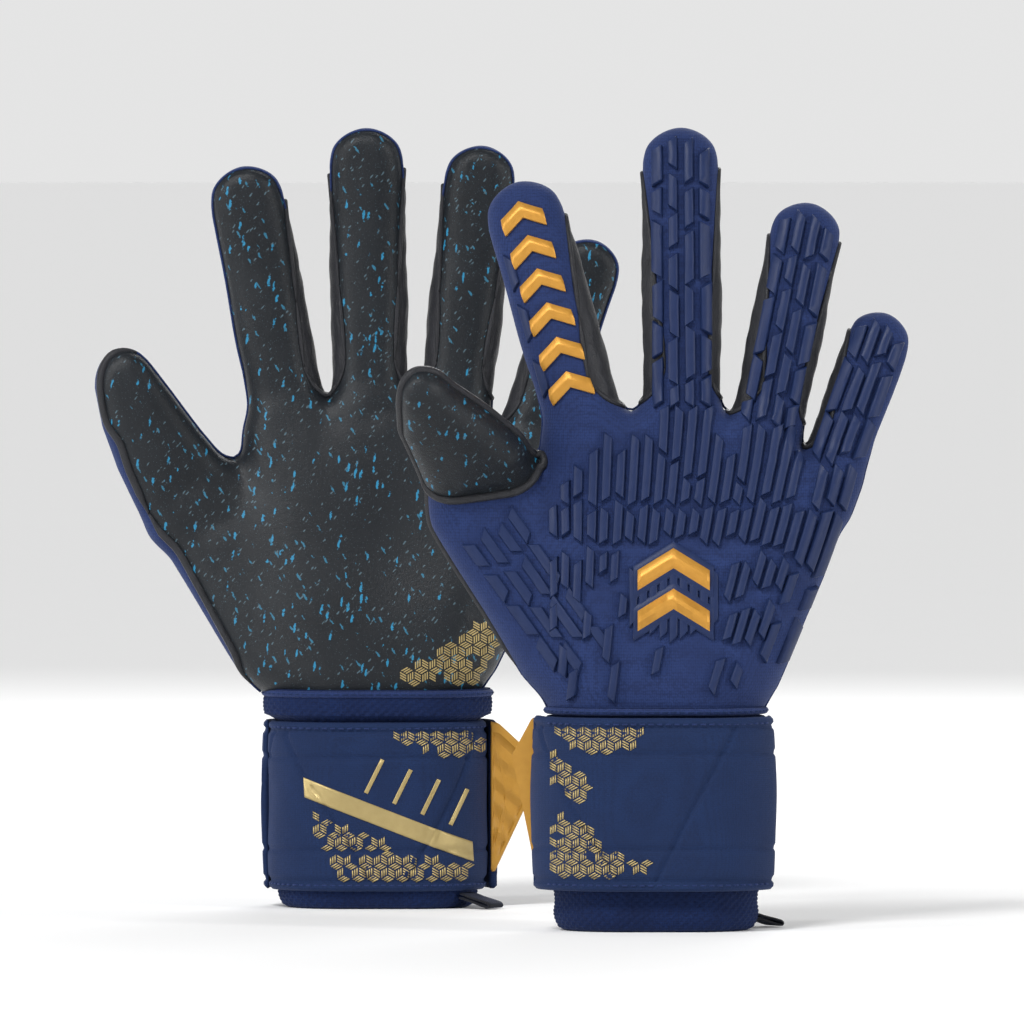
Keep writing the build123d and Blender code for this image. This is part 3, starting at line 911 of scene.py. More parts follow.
class Skin:
    """A glove's whole skin: points, triangles, normals, and each triangle's part and stuff."""

    def __init__(self, glove):
        self.glove = glove
        rows = glove.outline
        low_x = min(rows[:, 1].min(), glove.thumb.x) - 42
        high_x = max(rows[:, 2].max(), glove.digits[-1].x + 30) + 12
        low = (low_x, glove.y - 78 if glove.pad > 0 else glove.y - 46, HEM_Z - 6)
        high = (high_x, glove.y + 46, 292)
        self.room = (low, high)
        points, tris = surface_net(glove.field, low, high, CELL)
        points = settle(glove.field, points)
        lines = (root_line, mid_line, thumb_line, palm_line, thumb_front_line, gusset_line)
        for line in (lambda p, g: p[:, 2] - HEM_Z,) + lines:
            points, tris = cut(points, tris, lambda p, f=line: f(p, glove), glove.field)
        tris = tris[points[tris][:, :, 2].mean(1) > HEM_Z]
        used, tris = np.unique(tris, return_inverse=True)
        self.tris = tris.reshape(-1, 3)
        self.points = points[used]
        self.part, self.stuff = skin_labels(self.points[self.tris].mean(1), glove)
        self.out = unit(gradient(glove.field, self.points, 0.6))
        self.rest = self.points.copy()
        self.find_seams()
        self.pad_out()

    def find_seams(self):
        """The edges where the material changes, and each point's distance from them."""
        edges = np.sort(sides_of(self.tris), axis=1)
        owner = np.tile(np.arange(len(self.tris)), 3)
        order = np.lexsort((edges[:, 1], edges[:, 0]))
        edges, owner = edges[order], owner[order]
        same = (edges[1:] == edges[:-1]).all(1)
        first, second = owner[:-1][same], owner[1:][same]
        changes = self.stuff[first] != self.stuff[second]
        self.seams = edges[:-1][same][changes]
        self.seam_stuff = np.sort(np.stack([self.stuff[first], self.stuff[second]], 1)[changes], axis=1)
        self.seam_part = np.maximum(self.part[first], self.part[second])[changes]
        marks = np.unique(self.seams)
        tree = KDTree(len(marks))
        for mark in marks:
            tree.insert(self.points[mark], mark)
        tree.balance()
        self.seam_tree = tree
        self.seam_gap = np.array([tree.find(point)[2] for point in self.points])

    def stuff_share(self, number):
        """How much of each point's surroundings is one material."""
        total, hits = np.zeros(len(self.points)), np.zeros(len(self.points))
        for k in range(3):
            np.add.at(total, self.tris[:, k], 1)
            np.add.at(hits, self.tris[:, k], self.stuff == number)
        return hits / np.maximum(total, 1)

    def blow_up(self):
        """How far the padding pushes each point out: cloth held at its seams and blown up."""
        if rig.quick():
            return np.full(len(self.points), FOAM)
        glove = self.glove
        points, tris = surface_net(glove.field, *self.room, CLOTH_CELL)
        points = settle(glove.field, points)
        out = unit(gradient(glove.field, points, 0.6))
        gap = np.array([self.seam_tree.find(point)[2] for point in points])
        held = np.flatnonzero((gap < CLOTH_HELD) | (points[:, 2] < HEM_Z + 5))
        obj = make(f"{glove.name}_cloth", points, tris, NAVY)
        obj.vertex_groups.new(name="held").add(held.tolist(), 1.0, "REPLACE")
        modifier = obj.modifiers.new("cloth", "CLOTH")
        modifier.settings.vertex_group_mass = "held"
        modifier.settings.use_pressure = True
        modifier.settings.uniform_pressure_force = CLOTH_PRESSURE
        modifier.settings.effector_weights.gravity = 0.0
        modifier.point_cache.frame_end = CLOTH_FRAMES
        for frame in range(1, CLOTH_FRAMES + 1):
            bpy.context.scene.frame_set(frame)
        blown = obj.evaluated_get(bpy.context.evaluated_depsgraph_get()).data
        places = np.zeros(3 * len(points))
        blown.vertices.foreach_get("co", places)
        move = ((places.reshape(-1, 3) / MM - points) * out).sum(1)
        bpy.data.objects.remove(obj)
        bpy.context.scene.frame_set(1)
        move = CLOTH_CAP * np.tanh(np.maximum(move, 0) / CLOTH_CAP)
        tree = KDTree(len(points))
        for number, point in enumerate(points):
            tree.insert(point, number)
        tree.balance()
        swell = np.full(len(self.points), FOAM / 2)
        for number, point in enumerate(self.points):
            near = tree.find_n(point, 4)
            weights = [1 / (distance + 0.8) ** 2 for _, _, distance in near]
            swell[number] += sum(w * move[k] for w, (_, k, _) in zip(weights, near)) / sum(weights)
        return swell

    def pad_out(self):
        """Swells each panel between its seams."""
        crown = 1 - np.exp(-(self.seam_gap / SEAM_WIDTH) ** 2)
        latex, gusset = self.stuff_share(0), self.stuff_share(2)
        x, y, z = self.rest.T
        fold = np.sin(0.45 * z + 1.4 * np.sin(0.2 * x + 0.4 * y)) * np.sin(0.17 * z + x * 0.3)
        swell = self.blow_up() * (0.55 + 0.45 * latex) * (1 - gusset) + (0.45 + 0.2 * fold) * gusset
        height = swell * crown - 0.6
        hem = np.clip((z - HEM_Z) / 5, 0, 1)
        self.points = self.rest + self.out * (height * hem)[:, None]
        self.normals = self.find_normals()

    def find_normals(self):
        a, b, c = (self.points[self.tris[:, k]] for k in range(3))
        face = np.cross(b - a, c - a)
        normals = np.zeros_like(self.points)
        for k in range(3):
            np.add.at(normals, self.tris[:, k], face)
        return unit(normals)

    def panel(self, part, stuff, thick=1.3):
        """One panel as a closed sheet, or None if there is none."""
        tris = self.tris[(self.part == part) & (self.stuff == stuff)]
        if len(tris) < 8:
            return None
        used, tris = np.unique(tris, return_inverse=True)
        tris = tris.reshape(-1, 3)
        n = len(used)
        outer, out = self.points[used], self.out[used]
        inner = self.rest[used] - out * (thick + 0.4)
        directed = sides_of(tris)
        key = directed[:, 0] * n + directed[:, 1]
        back = directed[:, 1] * n + directed[:, 0]
        rim = directed[~np.isin(key, back)]
        faces = tris.tolist() + (tris[:, ::-1] + n).tolist()
        faces += [(b, a, a + n, b + n) for a, b in rim.tolist()]
        rest = np.concatenate([self.rest[used]] * 2)
        normals = np.concatenate([self.normals[used], -self.normals[used]])
        name = f"{self.glove.name}_{PARTS[part]}_{STUFFS[stuff]}_panel"
        material = (LATEX, NAVY, LEATHER)[stuff]
        return make(name, np.concatenate([outer, inner]), faces, material, normals=normals, rest=rest)


def along_axis(digit, glove, along):
    """A point on a finger's middle line, in metres."""
    return tuple(np.array(digit.point(0, 0, along, glove)) * MM)


def attach(obj, glove, part):
    """Puts a piece of the skin on its bodies, bending where the joint is."""
    if part == "hand":
        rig.ride(obj, glove.body("hand"))
    elif part == "thumb":
        thumb = glove.thumb
        lean = math.cos(thumb.tilt)
        up = np.array((thumb.sin * lean, -math.sin(thumb.tilt), thumb.cos * lean))
        hinge = np.array((thumb.x, glove.y, thumb.z))
        start, end = hinge + up * THUMB_SEAM, hinge + up * THUMB_BLEND
        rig.blend(obj, glove.body("hand"), glove.body("thumb"), tuple(start * MM), tuple(end * MM))
    else:
        name, half = part.split("_")
        digit = next(digit for digit in glove.digits if digit.name == name)
        if half == "base":
            ends = (ROOT_SEAM, KNUCKLE_END * digit.length)
            bodies = (glove.body("hand"), glove.body(f"{name}_base"))
        else:
            ends = (MID_START * digit.length, MID_END * digit.length)
            bodies = (glove.body(f"{name}_base"), glove.body(f"{name}_tip"))
        start, end = (along_axis(digit, glove, at) for at in ends)
        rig.blend(obj, *bodies, start, end)


def skin_nodes(glove, part, stuff):
    """The CAD nodes that a panel stands for."""
    if part == "hand":
        return [f"{glove.name}_{('palm_latex', 'backhand', 'finger_webs')[stuff]}"]
    if stuff == 2:
        return []
    return [f"{glove.name}_{part}_{('latex', 'back')[stuff]}"]


def build_skin(glove):
    """The glove's panels, each on its body and standing for its CAD node."""
    skin = Skin(glove)
    for part in range(len(PARTS)):
        for stuff in range(3):
            obj = skin.panel(part, stuff)
            if obj is None:
                continue
            attach(obj, glove, PARTS[part])
            if stuff < 2:
                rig.padded(obj, (LATEX_FILL, FABRIC_FILL)[stuff])
            nodes = skin_nodes(glove, PARTS[part], stuff)
            if nodes:
                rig.replaces(obj, *nodes)
            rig.slot(obj, ("latex", "navy_fabric", "black_leather")[stuff])
    return skin


SKINS = {glove.name: build_skin(glove) for glove in (LEFT, RIGHT)}


# ---------------------------------------------------------------- seams

def gather(parts):
    """Several (points, faces) joined into one."""
    points, faces = [], []
    for some_points, some_faces in parts:
        base = len(points)
        points += [tuple(point) for point in some_points]
        faces += [tuple(base + k for k in face) for face in some_faces]
    return points, faces


def part_of_seam(skin, mask):
    """The seams of one kind, as (part number, smooth paths)."""
    for part in np.unique(skin.seam_part[mask]):
        chains = runs(skin.seams[mask & (skin.seam_part == part)])
        paths = []
        for chain in chains:
            if len(chain) < 5:
                continue
            path = smooth_run(skin.points[chain] + skin.out[chain] * 0.25)
            paths.append(resample(path, 1.6) if not np.allclose(path[0], path[-1]) else path)
        if paths:
            yield int(part), paths


def thin_end(k, n):
    """How thick a roll is near its ends, by the number of the step."""
    return min(1.0, 0.3 + 0.14 * min(k, n - 1 - k))


def build_seams(glove, skin):
    """Piping along every seam, and the thick rolled binding down the outer edge of the thumb."""
    pairs = skin.seam_stuff
    at = Places(skin.rest[skin.seams[:, 0]], glove)
    spot = skin.rest[skin.seams[:, 0]]
    outer = (at.thumb_across < 2) & (pairs[:, 0] == 0) & (pairs[:, 1] == 1) & (spot[:, 0] < glove.digits[0].x)
    if glove.pad > 0:
        outer |= (skin.seam_part == 9) & (pairs[:, 0] == 0) & (pairs[:, 1] == 1)
    outer &= (at.near > 3) & (spot[:, 2] > HEM_Z + 3)
    kinds = (
        ("binding", outer, 1.55, LEATHER, "black_leather"),
        ("edge", (pairs[:, 0] == 0) & (pairs[:, 1] == 1) & ~outer, 0.42, NAVY, "navy_fabric"),
        ("roll", pairs[:, 1] == 2, 0.85, LEATHER, "black_leather"),
    )
    for kind, mask, radius, material, slot in kinds:
        for part, paths in part_of_seam(skin, mask):
            points, faces = tube(paths, radius, taper=(lambda k, n: 1.0) if kind == "edge" else thin_end)
            obj = make(f"{glove.name}_{PARTS[part]}_{kind}", points, faces, material)
            attach(obj, glove, PARTS[part])
            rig.slot(obj, slot)


# ---------------------------------------------------------------- mouldings laid on a surface

class Ground:
    """A surface that pieces are laid on, looked at from one Y side."""

    def __init__(self, points, tris, side):
        self.tree = BVHTree.FromPolygons([tuple(p) for p in points], [tuple(map(int, t)) for t in tris])
        self.side = side

    def at(self, x, z):
        """The surface's point and its normal, or None beside it."""
        hit, normal, _, _ = self.tree.ray_cast(Vector((x, self.side * 400, z)), Vector((0, -self.side, 0)))
        if hit is None:
            return None
        if normal.y * self.side < 0:
            normal.negate()
        return hit, normal

    def steady(self, x, z, reach=1.6):
        """The surface with its normal averaged over a few millimetres."""
        here = self.at(x, z)
        if here is None:
            return None
        total = here[1].copy()
        for dx, dz in ((reach, 0), (-reach, 0), (0, reach), (0, -reach)):
            near = self.at(x + dx, z + dz)
            if near:
                total += near[1]
        return here[0], total.normalized()


# A bar's section as (share of its width, share of its height)
RIB_PROFILE = ((-0.5, -0.6), (-0.5, 0.55), (-0.44, 0.85), (-0.3, 1.0),
               (0.3, 1.0), (0.44, 0.85), (0.5, 0.55), (0.5, -0.6))
ROOF_PROFILE = ((-0.5, -0.4), (-0.5, 0.42), (-0.12, 1.0), (0.12, 1.0), (0.5, 0.42), (0.5, -0.4))
FLAT_PROFILE = ((-0.5, -0.6),) + tuple((k / 8, 1.0) for k in range(-4, 5)) + ((0.5, -0.6),)


def moulding_bar(ground, path, width, height, slant=(0.0, 0.0), profile=RIB_PROFILE, step=2.6, end=0.35,
                 cross=None):
    """A bar that follows a path of (x, z) over a surface, with cut ends. None where the surface stops.

    cross is the direction of every section, where they aren't square to the path.
    """
    path = np.array([(x, 0.0, z) for x, z in path])
    corners = [0.0] + list(np.cumsum(np.linalg.norm(np.diff(path, axis=0), axis=1)))
    length = corners[-1]
    count = max(int(length / step), 2)
    at = sorted(set([0.0, 0.05, end] + [length * k / count for k in range(1, count)] + corners[1:-1]
                    + [length - end, length - 0.05, length]))
    at = [at[0]] + [b for a, b in zip(at, at[1:]) if b - a > 0.03]
    spots = [np.array([np.interp(a, corners, path[:, 0]), np.interp(a, corners, path[:, 2])]) for a in at]
    points = []
    for k, spot in enumerate(spots):
        before, after = spots[max(k - 1, 0)], spots[min(k + 1, len(spots) - 1)]
        one = spot - before if k else after - spot
        two = after - spot if k < len(spots) - 1 else one
        one, two = one / np.linalg.norm(one), two / np.linalg.norm(two)
        forward = (one + two) / np.linalg.norm(one + two)
        across = np.array((forward[1], -forward[0])) / max(float(forward @ one), 0.5)
        if cross is not None:
            across = np.array(cross)
        edge = min(at[k], length - at[k])
        lean = slant[0 if at[k] < length / 2 else 1] * max(1 - edge / min(4.0, length / 2), 0)
        top = 1.0 if edge >= end - 1e-6 else (0.75 if edge > 0.01 else None)
        for offset, rise in profile:
            x, z = spot + across * offset * width + forward * offset * lean * 2
            found = ground.steady(x, z)
            if found is None:
                return None
            hit, normal = found
            rise = -0.6 if top is None and rise > 0 else min(rise, top or rise)
            points.append(hit + normal * (rise * height))
    n, sides = len(spots), len(profile)
    faces = [
        (a + j, a + (j + 1) % sides, b + (j + 1) % sides, b + j)
        for a, b in ((k * sides, (k + 1) * sides) for k in range(n - 1)) for j in range(sides)
    ]
    faces.append(tuple(reversed(range(sides))))
    faces.append(tuple((n - 1) * sides + j for j in range(sides)))
    return points, faces


def finger_place(digit, glove, across, along):
    x, _, z = digit.point(across, 0, along, glove)
    return x, z


def fan_place(glove, share, z):
    """A place on the hand by its share of the hand's width and its height."""
    low, high, _ = glove.edges(z)
    return float(low + share * (high - low)), z


def finger_bars(glove, digit, ground, clear):
    """Staggered ribs on a finger's back, from its tip down past its root, as (low, high, (points, faces)) along the
    finger.
    """
    for number, across in enumerate((-7.8, -2.7, 2.5, 7.7)):
        across *= digit.width / 28
        along = digit.length - (8.5, 5.5, 6.0, 9.5)[number]
        while along > -2:
            length = rng.uniform(10, 21) if along < digit.length * 0.72 else rng.uniform(8, 14)
            gap = rng.uniform(1.2, 2.0) if along < digit.length * 0.6 else rng.uniform(2.2, 3.6)
            low = max(along - length, -4.0)
            shift = rng.uniform(-0.25, 0.25)
            slant = (rng.choice((-1.2, 1.2)), rng.choice((-1.2, 1.2)))
            path = [finger_place(digit, glove, across + shift, at) for at in (low, along)]
            if along - low > 4 and not clear(*path[0]) and not clear(*path[1]):
                bar = moulding_bar(ground, path, 3.3, 2.1, slant)
                if bar:
                    yield low, along, bar
            along = low - gap


def part_at(digit, along):
    """The part of the skin at a distance along a finger."""
    if along < ROOT_SEAM:
        return "hand"
    return f"{digit.name}_{'base' if along < MID_SEAM * digit.length else 'tip'}"


def hand_bars(glove, ground, clear):
    """The ribs of the backhand: two tall rows below the knuckles, a short row, then scattered ones."""
    columns = 23
    for column in range(columns):
        share = 0.035 + 0.93 * column / (columns - 1)
        low, high, _ = glove.edges(165.0)
        x = low + share * (high - low)
        digit = min(glove.digits, key=lambda d: abs(d.x - x))
        crotch = abs(digit.x - x) > digit.width * 0.36
        top = digit.z - (15.0 if crotch else 5.0)
        if share < 0.24:
            top = 150 + 130 * (share - 0.035)
        first = 150.0 + rng.uniform(-2.2, 2.2) - 9 * max(share - 0.75, 0)
        second = 136.5 + rng.uniform(-2.2, 2.2) - 60 * max(share - 0.72, 0)
        spans = []
        while top - first > 5:
            length = min(rng.uniform(14, 24), top - first)
            if top - first - length < 6:
                length = top - first
            spans.append((top - length, top))
            top -= length + 1.4
        spans.append((second, first - rng.uniform(1.8, 3.4)))
        z = second - rng.uniform(2.5, 9)
        while z > 86:
            length = rng.uniform(6, 14)
            likely = 1.0 if share > 0.7 else 0.62
            if rng.random() < likely * (z - 60) / 70 and z - length > 80:
                spans.append((z - length, z))
            z -= length + rng.uniform(3.5, 9)
        for low_z, high_z in spans:
            shift = rng.uniform(-0.002, 0.002)
            path = [fan_place(glove, share + shift, at) for at in (low_z, (low_z + high_z) / 2, high_z)]
            slant = (rng.choice((-1.2, 1.2)), rng.choice((-1.2, 1.2)))
            if high_z - low_z > 4 and not any(clear(*spot) for spot in path):
                bar = moulding_bar(ground, path, 3.2 if high_z > 133 else 2.9, 2.0, slant)
                if bar:
                    yield bar


def thumb_bars(glove, ground):
    """Slanted ribs on the back of the thumb's root."""
    thumb = glove.thumb
    start = np.array((thumb.x + 40.0, thumb.z - 55.0))
    reach = np.array((thumb.x, thumb.z)) - start
    length = math.hypot(*reach)
    reach = reach / length
    side = np.array((-reach[1], reach[0]))
    for across in (14.5, 8.5, 2.5, -3.5):
        along = length - (9.0 if glove.pad > 0 else -2.0) - rng.uniform(0, 4)
        while along > 2:
            low = along - rng.uniform(9, 17)
            path = [tuple(start + reach * at + side * across) for at in (low, along)]
            bar = moulding_bar(ground, path, 3.6, 1.5, (rng.choice((-1.4, 1.4)), rng.choice((-1.4, 1.4))))
            if bar and low > -6:
                yield bar
            along = low - rng.uniform(1.6, 4.5)


def on_fabric(ground, path, glove):
    """Whether all of a path's places lie on navy fabric."""
    found = [ground.at(*spot) for spot in path]
    if any(hit is None for hit in found):
        return False
    return bool((skin_labels(np.array([tuple(hit) for hit, _ in found]), glove)[1] == 1).all())


def thumb_tip_bars(glove, ground):
    """Staggered ribs on the back of the thumb itself."""
    thumb = glove.thumb
    for number, across in enumerate((-6.0, 0.0, 6.0)):
        along = thumb.length - (13.0, 9.0, 12.0)[number]
        while along > 12:
            low = along - rng.uniform(8, 14)
            middle = np.interp(along, thumb.rows[:, 0], thumb.rows[:, 1])
            path = [(thumb.x + (across + middle) * thumb.cos + at * math.cos(thumb.tilt) * thumb.sin,
                     thumb.z - (across + middle) * thumb.sin + at * math.cos(thumb.tilt) * thumb.cos)
                    for at in (low, along)]
            bar = moulding_bar(ground, path, 3.4, 1.5, (rng.choice((-1.2, 1.2)), rng.choice((-1.2, 1.2))))
            if bar and (low > 20 or glove.pad < 0) and on_fabric(ground, path, glove):
                yield bar
            along = low - rng.uniform(1.6, 3.0)


def chevron_bar(ground, x, z, along, half, drop, width, height, profile, end):
    """A chevron that points along a direction, its ends cut along that direction too."""
    across = np.array((along[1], -along[0]))
    tip = np.array((x, z))
    path = [tuple(tip - across * half - along * drop), tuple(tip), tuple(tip + across * half - along * drop)]
    cross = -along * math.hypot(half, drop) / half
    return moulding_bar(ground, path, width, height, (0, 0), profile, 1.6, end, cross)


def lay(glove, name, part, bars, material, slot, replaced=()):
    if not bars:
        return None
    points, faces = gather(bars)
    obj = make(f"{glove.name}_{name}", points, faces, material)
    obj.data.set_sharp_from_angle(angle=math.radians(40))
    attach(obj, glove, part)
    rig.slot(obj, slot)
    if replaced:
        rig.replaces(obj, *replaced)
    return obj


def build_backhand(glove, skin):
    """The ribs, the index finger's gold chevrons and the emblem of a glove's back."""
    ground = Ground(skin.points, skin.tris, -glove.pad)
    low, high, _ = glove.edges(EMBLEM_Z)
    emblem = (float(low + 0.47 * (high - low)), EMBLEM_Z)

    def clear(x, z):
        return abs(x - emblem[0]) < 17 and -17.5 < z - emblem[1] < 15.5

    build_ribs(glove, skin, ground, clear)
    build_finger_chevrons(glove, ground)
    build_emblem(glove, ground, *emblem)


def build_ribs(glove, skin, ground, clear):
    """The moulded ribs of the hand, the fingers and the thumb, outside the emblem's place."""
    groups = {}
    index = glove.digits[0]
    for digit in glove.digits[1:]:
        for low_at, high_at, bar in finger_bars(glove, digit, ground, clear):
            groups.setdefault(part_at(digit, (low_at + high_at) / 2), []).append(bar)
    for at in (index.length * 0.16, index.length * 0.4, index.length * 0.62):
        path = [finger_place(index, glove, -9.6, along) for along in (at - 5, at + 6)]
        bar = moulding_bar(ground, path, 2.6, 1.3, (1.5, -1.5))
        if bar:
            groups.setdefault(part_at(index, at), []).append(bar)
    groups.setdefault("hand", []).extend(hand_bars(glove, ground, clear))
    groups["hand"] += thumb_bars(glove, ground)
    groups["thumb"] = list(thumb_tip_bars(glove, Ground(skin.points, skin.tris, 1)))
    for part, bars in groups.items():
        replaced = [f"{glove.name}_back_ribs"] if part == "hand" else []
        lay(glove, f"{part}_ribs", part, bars, MOULDED, "navy_moulding", replaced)


def build_finger_chevrons(glove, ground):
    """A row of gold chevrons up the index finger."""
    index = glove.digits[0]
    up = np.array((index.sin, index.cos))
    gold = {}
    for number in range(6):
        along = 11 + number * 12.4
        x, z = finger_place(index, glove, -1.2, along)
        bar = chevron_bar(ground, x, z, up, 7.2, 4.6, 4.8, 2.4, ROOF_PROFILE, 0.8)
        if bar:
            gold.setdefault(part_at(index, along - 2), []).append(bar)
    for part, bars in gold.items():
        lay(glove, f"{part}_gold_chevrons", part, bars, GOLD, "gold_moulding")


def build_emblem(glove, ground, middle, height):
    """Two gold chevrons on dark plates, over a field of nine upright bars."""
    plates, arms = [], []
    for lift in (-7.0, 7.0):
        place = (middle, height + lift + 5.0, np.array((0.0, 1.0)))
        plates.append(chevron_bar(ground, *place, 14.0, 8.6, 10.0, 1.4, RIB_PROFILE, 0.4))
        arms.append(chevron_bar(ground, *place, 12.5, 7.7, 6.0, 3.3, ROOF_PROFILE, 1.2))
    for number in range(9):
        x = middle - 14 + number * 3.5
        top = height + 15 - abs(number - 4) * 1.8
        low = height - 16 + abs(number - 4) * 1.4
        plates.append(moulding_bar(ground, [(x, low), (x, top)], 2.9, 1.15, (1.5, -1.5)))
    lay(glove, "emblem_plate", "hand", [p for p in plates if p], MOULDED, "navy_moulding")
    lay(glove, "emblem_gold", "hand", [a for a in arms if a], GOLD, "gold_moulding", [f"{glove.name}_emblem"])


BOX_FACES = [(3, 2, 1, 0), (4, 5, 6, 7)] + [(j, (j + 1) % 4, 4 + (j + 1) % 4, 4 + j) for j in range(4)]


def rhombille(ground, inside, side=3.0, thick=0.5, lift=0.2):
    """A print of cubes, each face three strokes, wherever inside(x, z) says, as (points, faces)."""
    parts = []
    (x0, z0), (x1, z1) = inside.box
    edges = [np.array((math.cos(math.radians(a)), math.sin(math.radians(a)))) * side for a in (30, 150, 270)]
    rows = int((z1 - z0) / (1.5 * side)) + 2
    columns = int((x1 - x0) / (math.sqrt(3) * side)) + 2
    for row in range(rows):
        for column in range(columns):
            centre = np.array((x0 + (column + 0.5 * (row % 2)) * math.sqrt(3) * side, z0 + row * 1.5 * side))
            for k in range(3):
                one, two = edges[k], edges[(k + 1) % 3]
                middle = centre + (one + two) / 2
                if not inside(*middle) or rng.random() < 0.06:
                    continue
                for stroke in (0.2, 0.5, 0.8):
                    start, stop = centre + two * stroke + one * 0.08, centre + two * stroke + one * 0.92
                    shift = two / side * thick / 2
                    corners = (start - shift, stop - shift, stop + shift, start + shift)
                    found = [ground.at(*corner) for corner in corners]
                    if any(hit is None for hit in found):
                        continue
                    points = [hit + normal * h for h in (-0.15, lift) for hit, normal in found]
                    parts.append((points, BOX_FACES))
    return parts


class Patch:
    """A polygon of (x, z) that says whether a place is inside it."""

    def __init__(self, *corners):
        self.corners = corners
        xs, zs = zip(*corners)
        self.box = ((min(xs), min(zs)), (max(xs), max(zs)))

    def __call__(self, x, z):
        inside = False
        for (ax, az), (bx, bz) in zip(self.corners, self.corners[1:] + self.corners[:1]):
            if (az > z) != (bz > z) and x < (bx - ax) * (z - az) / (bz - az) + ax:
                inside = not inside
        return inside


def build_palm_print(glove, skin):
    """The gold print in the palm's corner below the little finger."""
    ground = Ground(skin.points, skin.tris, glove.pad)
    _, low, _ = glove.edges(80.0)
    _, high, _ = glove.edges(106.0)
    low, high = float(low), float(high)
    patch = Patch((low - 32, 79), (low - 4, 79), (high - 4, 107), (high - 12, 104), (low - 18, 92),
                  (low - 30, 86))
    lay(glove, "palm_print", "hand", rhombille(ground, patch), GOLD_PRINT, "gold_moulding")


# ---------------------------------------------------------------- cuff

def slot_ring(width, depth, step):
    """A flattened ring, counter-clockwise from its +X end: places, outward normals and distances."""
    radius, straight = depth / 2, (width - depth) / 2
    turns = max(int(math.pi * radius / step), 8)
    line = np.linspace(1, -1, max(int(2 * straight / step), 2) + 1)[1:-1]
    angles = np.concatenate([
        np.linspace(0, 0.5, turns // 2 + 1), np.full(len(line), 0.5), np.linspace(0.5, 1.5, turns + 1),
        np.full(len(line), 1.5), np.linspace(1.5, 2, turns // 2 + 1)[:-1],
    ]) * math.pi
    half = turns // 2 + 1
    middles = np.concatenate([
        np.full(half, 1.0), line, np.full(turns + 1, -1.0), line[::-1], np.full(half - 1, 1.0),
    ]) * straight
    normals = np.stack([np.cos(angles), np.sin(angles)], 1)
    places = normals * radius
    places[:, 0] += middles
    gaps = np.linalg.norm(np.diff(np.concatenate([places, places[:1]]), axis=0), axis=1)
    return places, normals, np.concatenate([[0], np.cumsum(gaps)[:-1]]), gaps.sum()


def at_height(glove, flat, z):
    """Flat places round a cuff's middle, brought to the glove and a height."""
    return np.column_stack([flat[:, 0] + glove.cuff_x, flat[:, 1] + glove.y, np.full(len(flat), z)])


def sheet_grid(rows, closed):
    """Points and faces of a thick sheet. rows is (outer, inner), each heights by places by 3."""
    outer, inner = rows
    tall, wide = outer.shape[:2]
    points = np.concatenate([outer.reshape(-1, 3), inner.reshape(-1, 3)])
    shift = tall * wide
    faces = []
    last = wide if closed else wide - 1
    for i in range(tall - 1):
        for j in range(last):
            k = (j + 1) % wide
            a, b, c, d = i * wide + j, i * wide + k, (i + 1) * wide + k, (i + 1) * wide + j
            faces.append((a, b, c, d))
            faces.append((shift + d, shift + c, shift + b, shift + a))
    for j in range(last):
        k = (j + 1) % wide
        faces.append((shift + j, shift + k, k, j))
        top = (tall - 1) * wide
        faces.append((top + j, top + k, shift + top + k, shift + top + j))
    if not closed:
        for i in range(tall - 1):
            a, b = i * wide, (i + 1) * wide
            faces.append((a, b, shift + b, shift + a))
            a, b = a + wide - 1, b + wide - 1
            faces.append((b, a, shift + a, shift + b))
    return points, faces


def knit_relief(distance, height, total):
    """Rows of interlocked stitches."""
    around = 2 * math.pi * distance / (total / round(total / 3.4))
    up = 2 * math.pi * height / 2.7
    return 0.34 * np.cos(around) * np.cos(up) + 0.1 * np.cos(2 * around)


def build_knit(glove):
    """The ribbed cuff, drawn in at its foot and flared to the hand's hem above the strap."""
    hidden = np.arange(20, 60, 5.0)
    heights = np.concatenate([np.arange(0, 17.5, 0.5), hidden, np.arange(62, HEM_Z + 1.2, 0.5)])
    places, normals, distance, total = slot_ring(*KNIT, 0.6)
    outer, inner = [], []
    for z in heights:
        foot = max(1 - z / 7.0, 0)
        shrink = -2.4 * foot ** 1.5 - 1.6 * max(1 - z / 1.4, 0) ** 2 + 0.35 * math.sin(z / 2.2) - 0.35
        top = min(max((z - glove.strap_low - 60) / 2.5, 0), 1) * np.array(glove.hem_grow)
        relief = knit_relief(distance, z, total) - 0.3
        outer.append(at_height(glove, places + normals * ((shrink + relief)[:, None] + top), z))
        inner.append(at_height(glove, places + normals * (shrink - 2.2), z))
    sheet = sheet_grid((np.array(outer), np.array(inner)), True)
    obj = make(f"{glove.name}_wrist_knit_ribbed", *sheet, CUFF_KNIT)
    fix(obj, glove.body("hand"), "navy_knit", f"{glove.name}_wrist_knit")


def ring_path(glove, grow, z):
    """A level ring outside the knit. grow is one distance, or one in X and one in Y."""
    places, normals, _, _ = slot_ring(*KNIT, 2.0)
    path = at_height(glove, places + normals * grow, z)
    return np.concatenate([path, path[:1]])


def build_hem(glove):
    """The piping where the hand meets the cuff, and its row of stitches."""
    piping = ring_path(glove, np.array(glove.hem_grow) - 0.7, HEM_Z - 0.6)
    obj = make(f"{glove.name}_hem_piping", *tube([piping], 1.2, 10), NAVY)
    fix(obj, glove.body("hand"), "navy_piping", f"{glove.name}_wrist_piping")
    stitches = dashes(ring_path(glove, np.array(glove.hem_grow) + 0.35, HEM_Z - 0.6), 2.0, 1.2)
    obj = make(f"{glove.name}_hem_stitches", *tube(stitches, 0.28, 6), STRAP_CLOTH)
    fix(obj, glove.body("hand"), "navy_piping")


def groove(distance, width, depth):
    """A pressed line of a width, negative below the surface."""
    return -depth * np.exp(-(distance / width) ** 2)


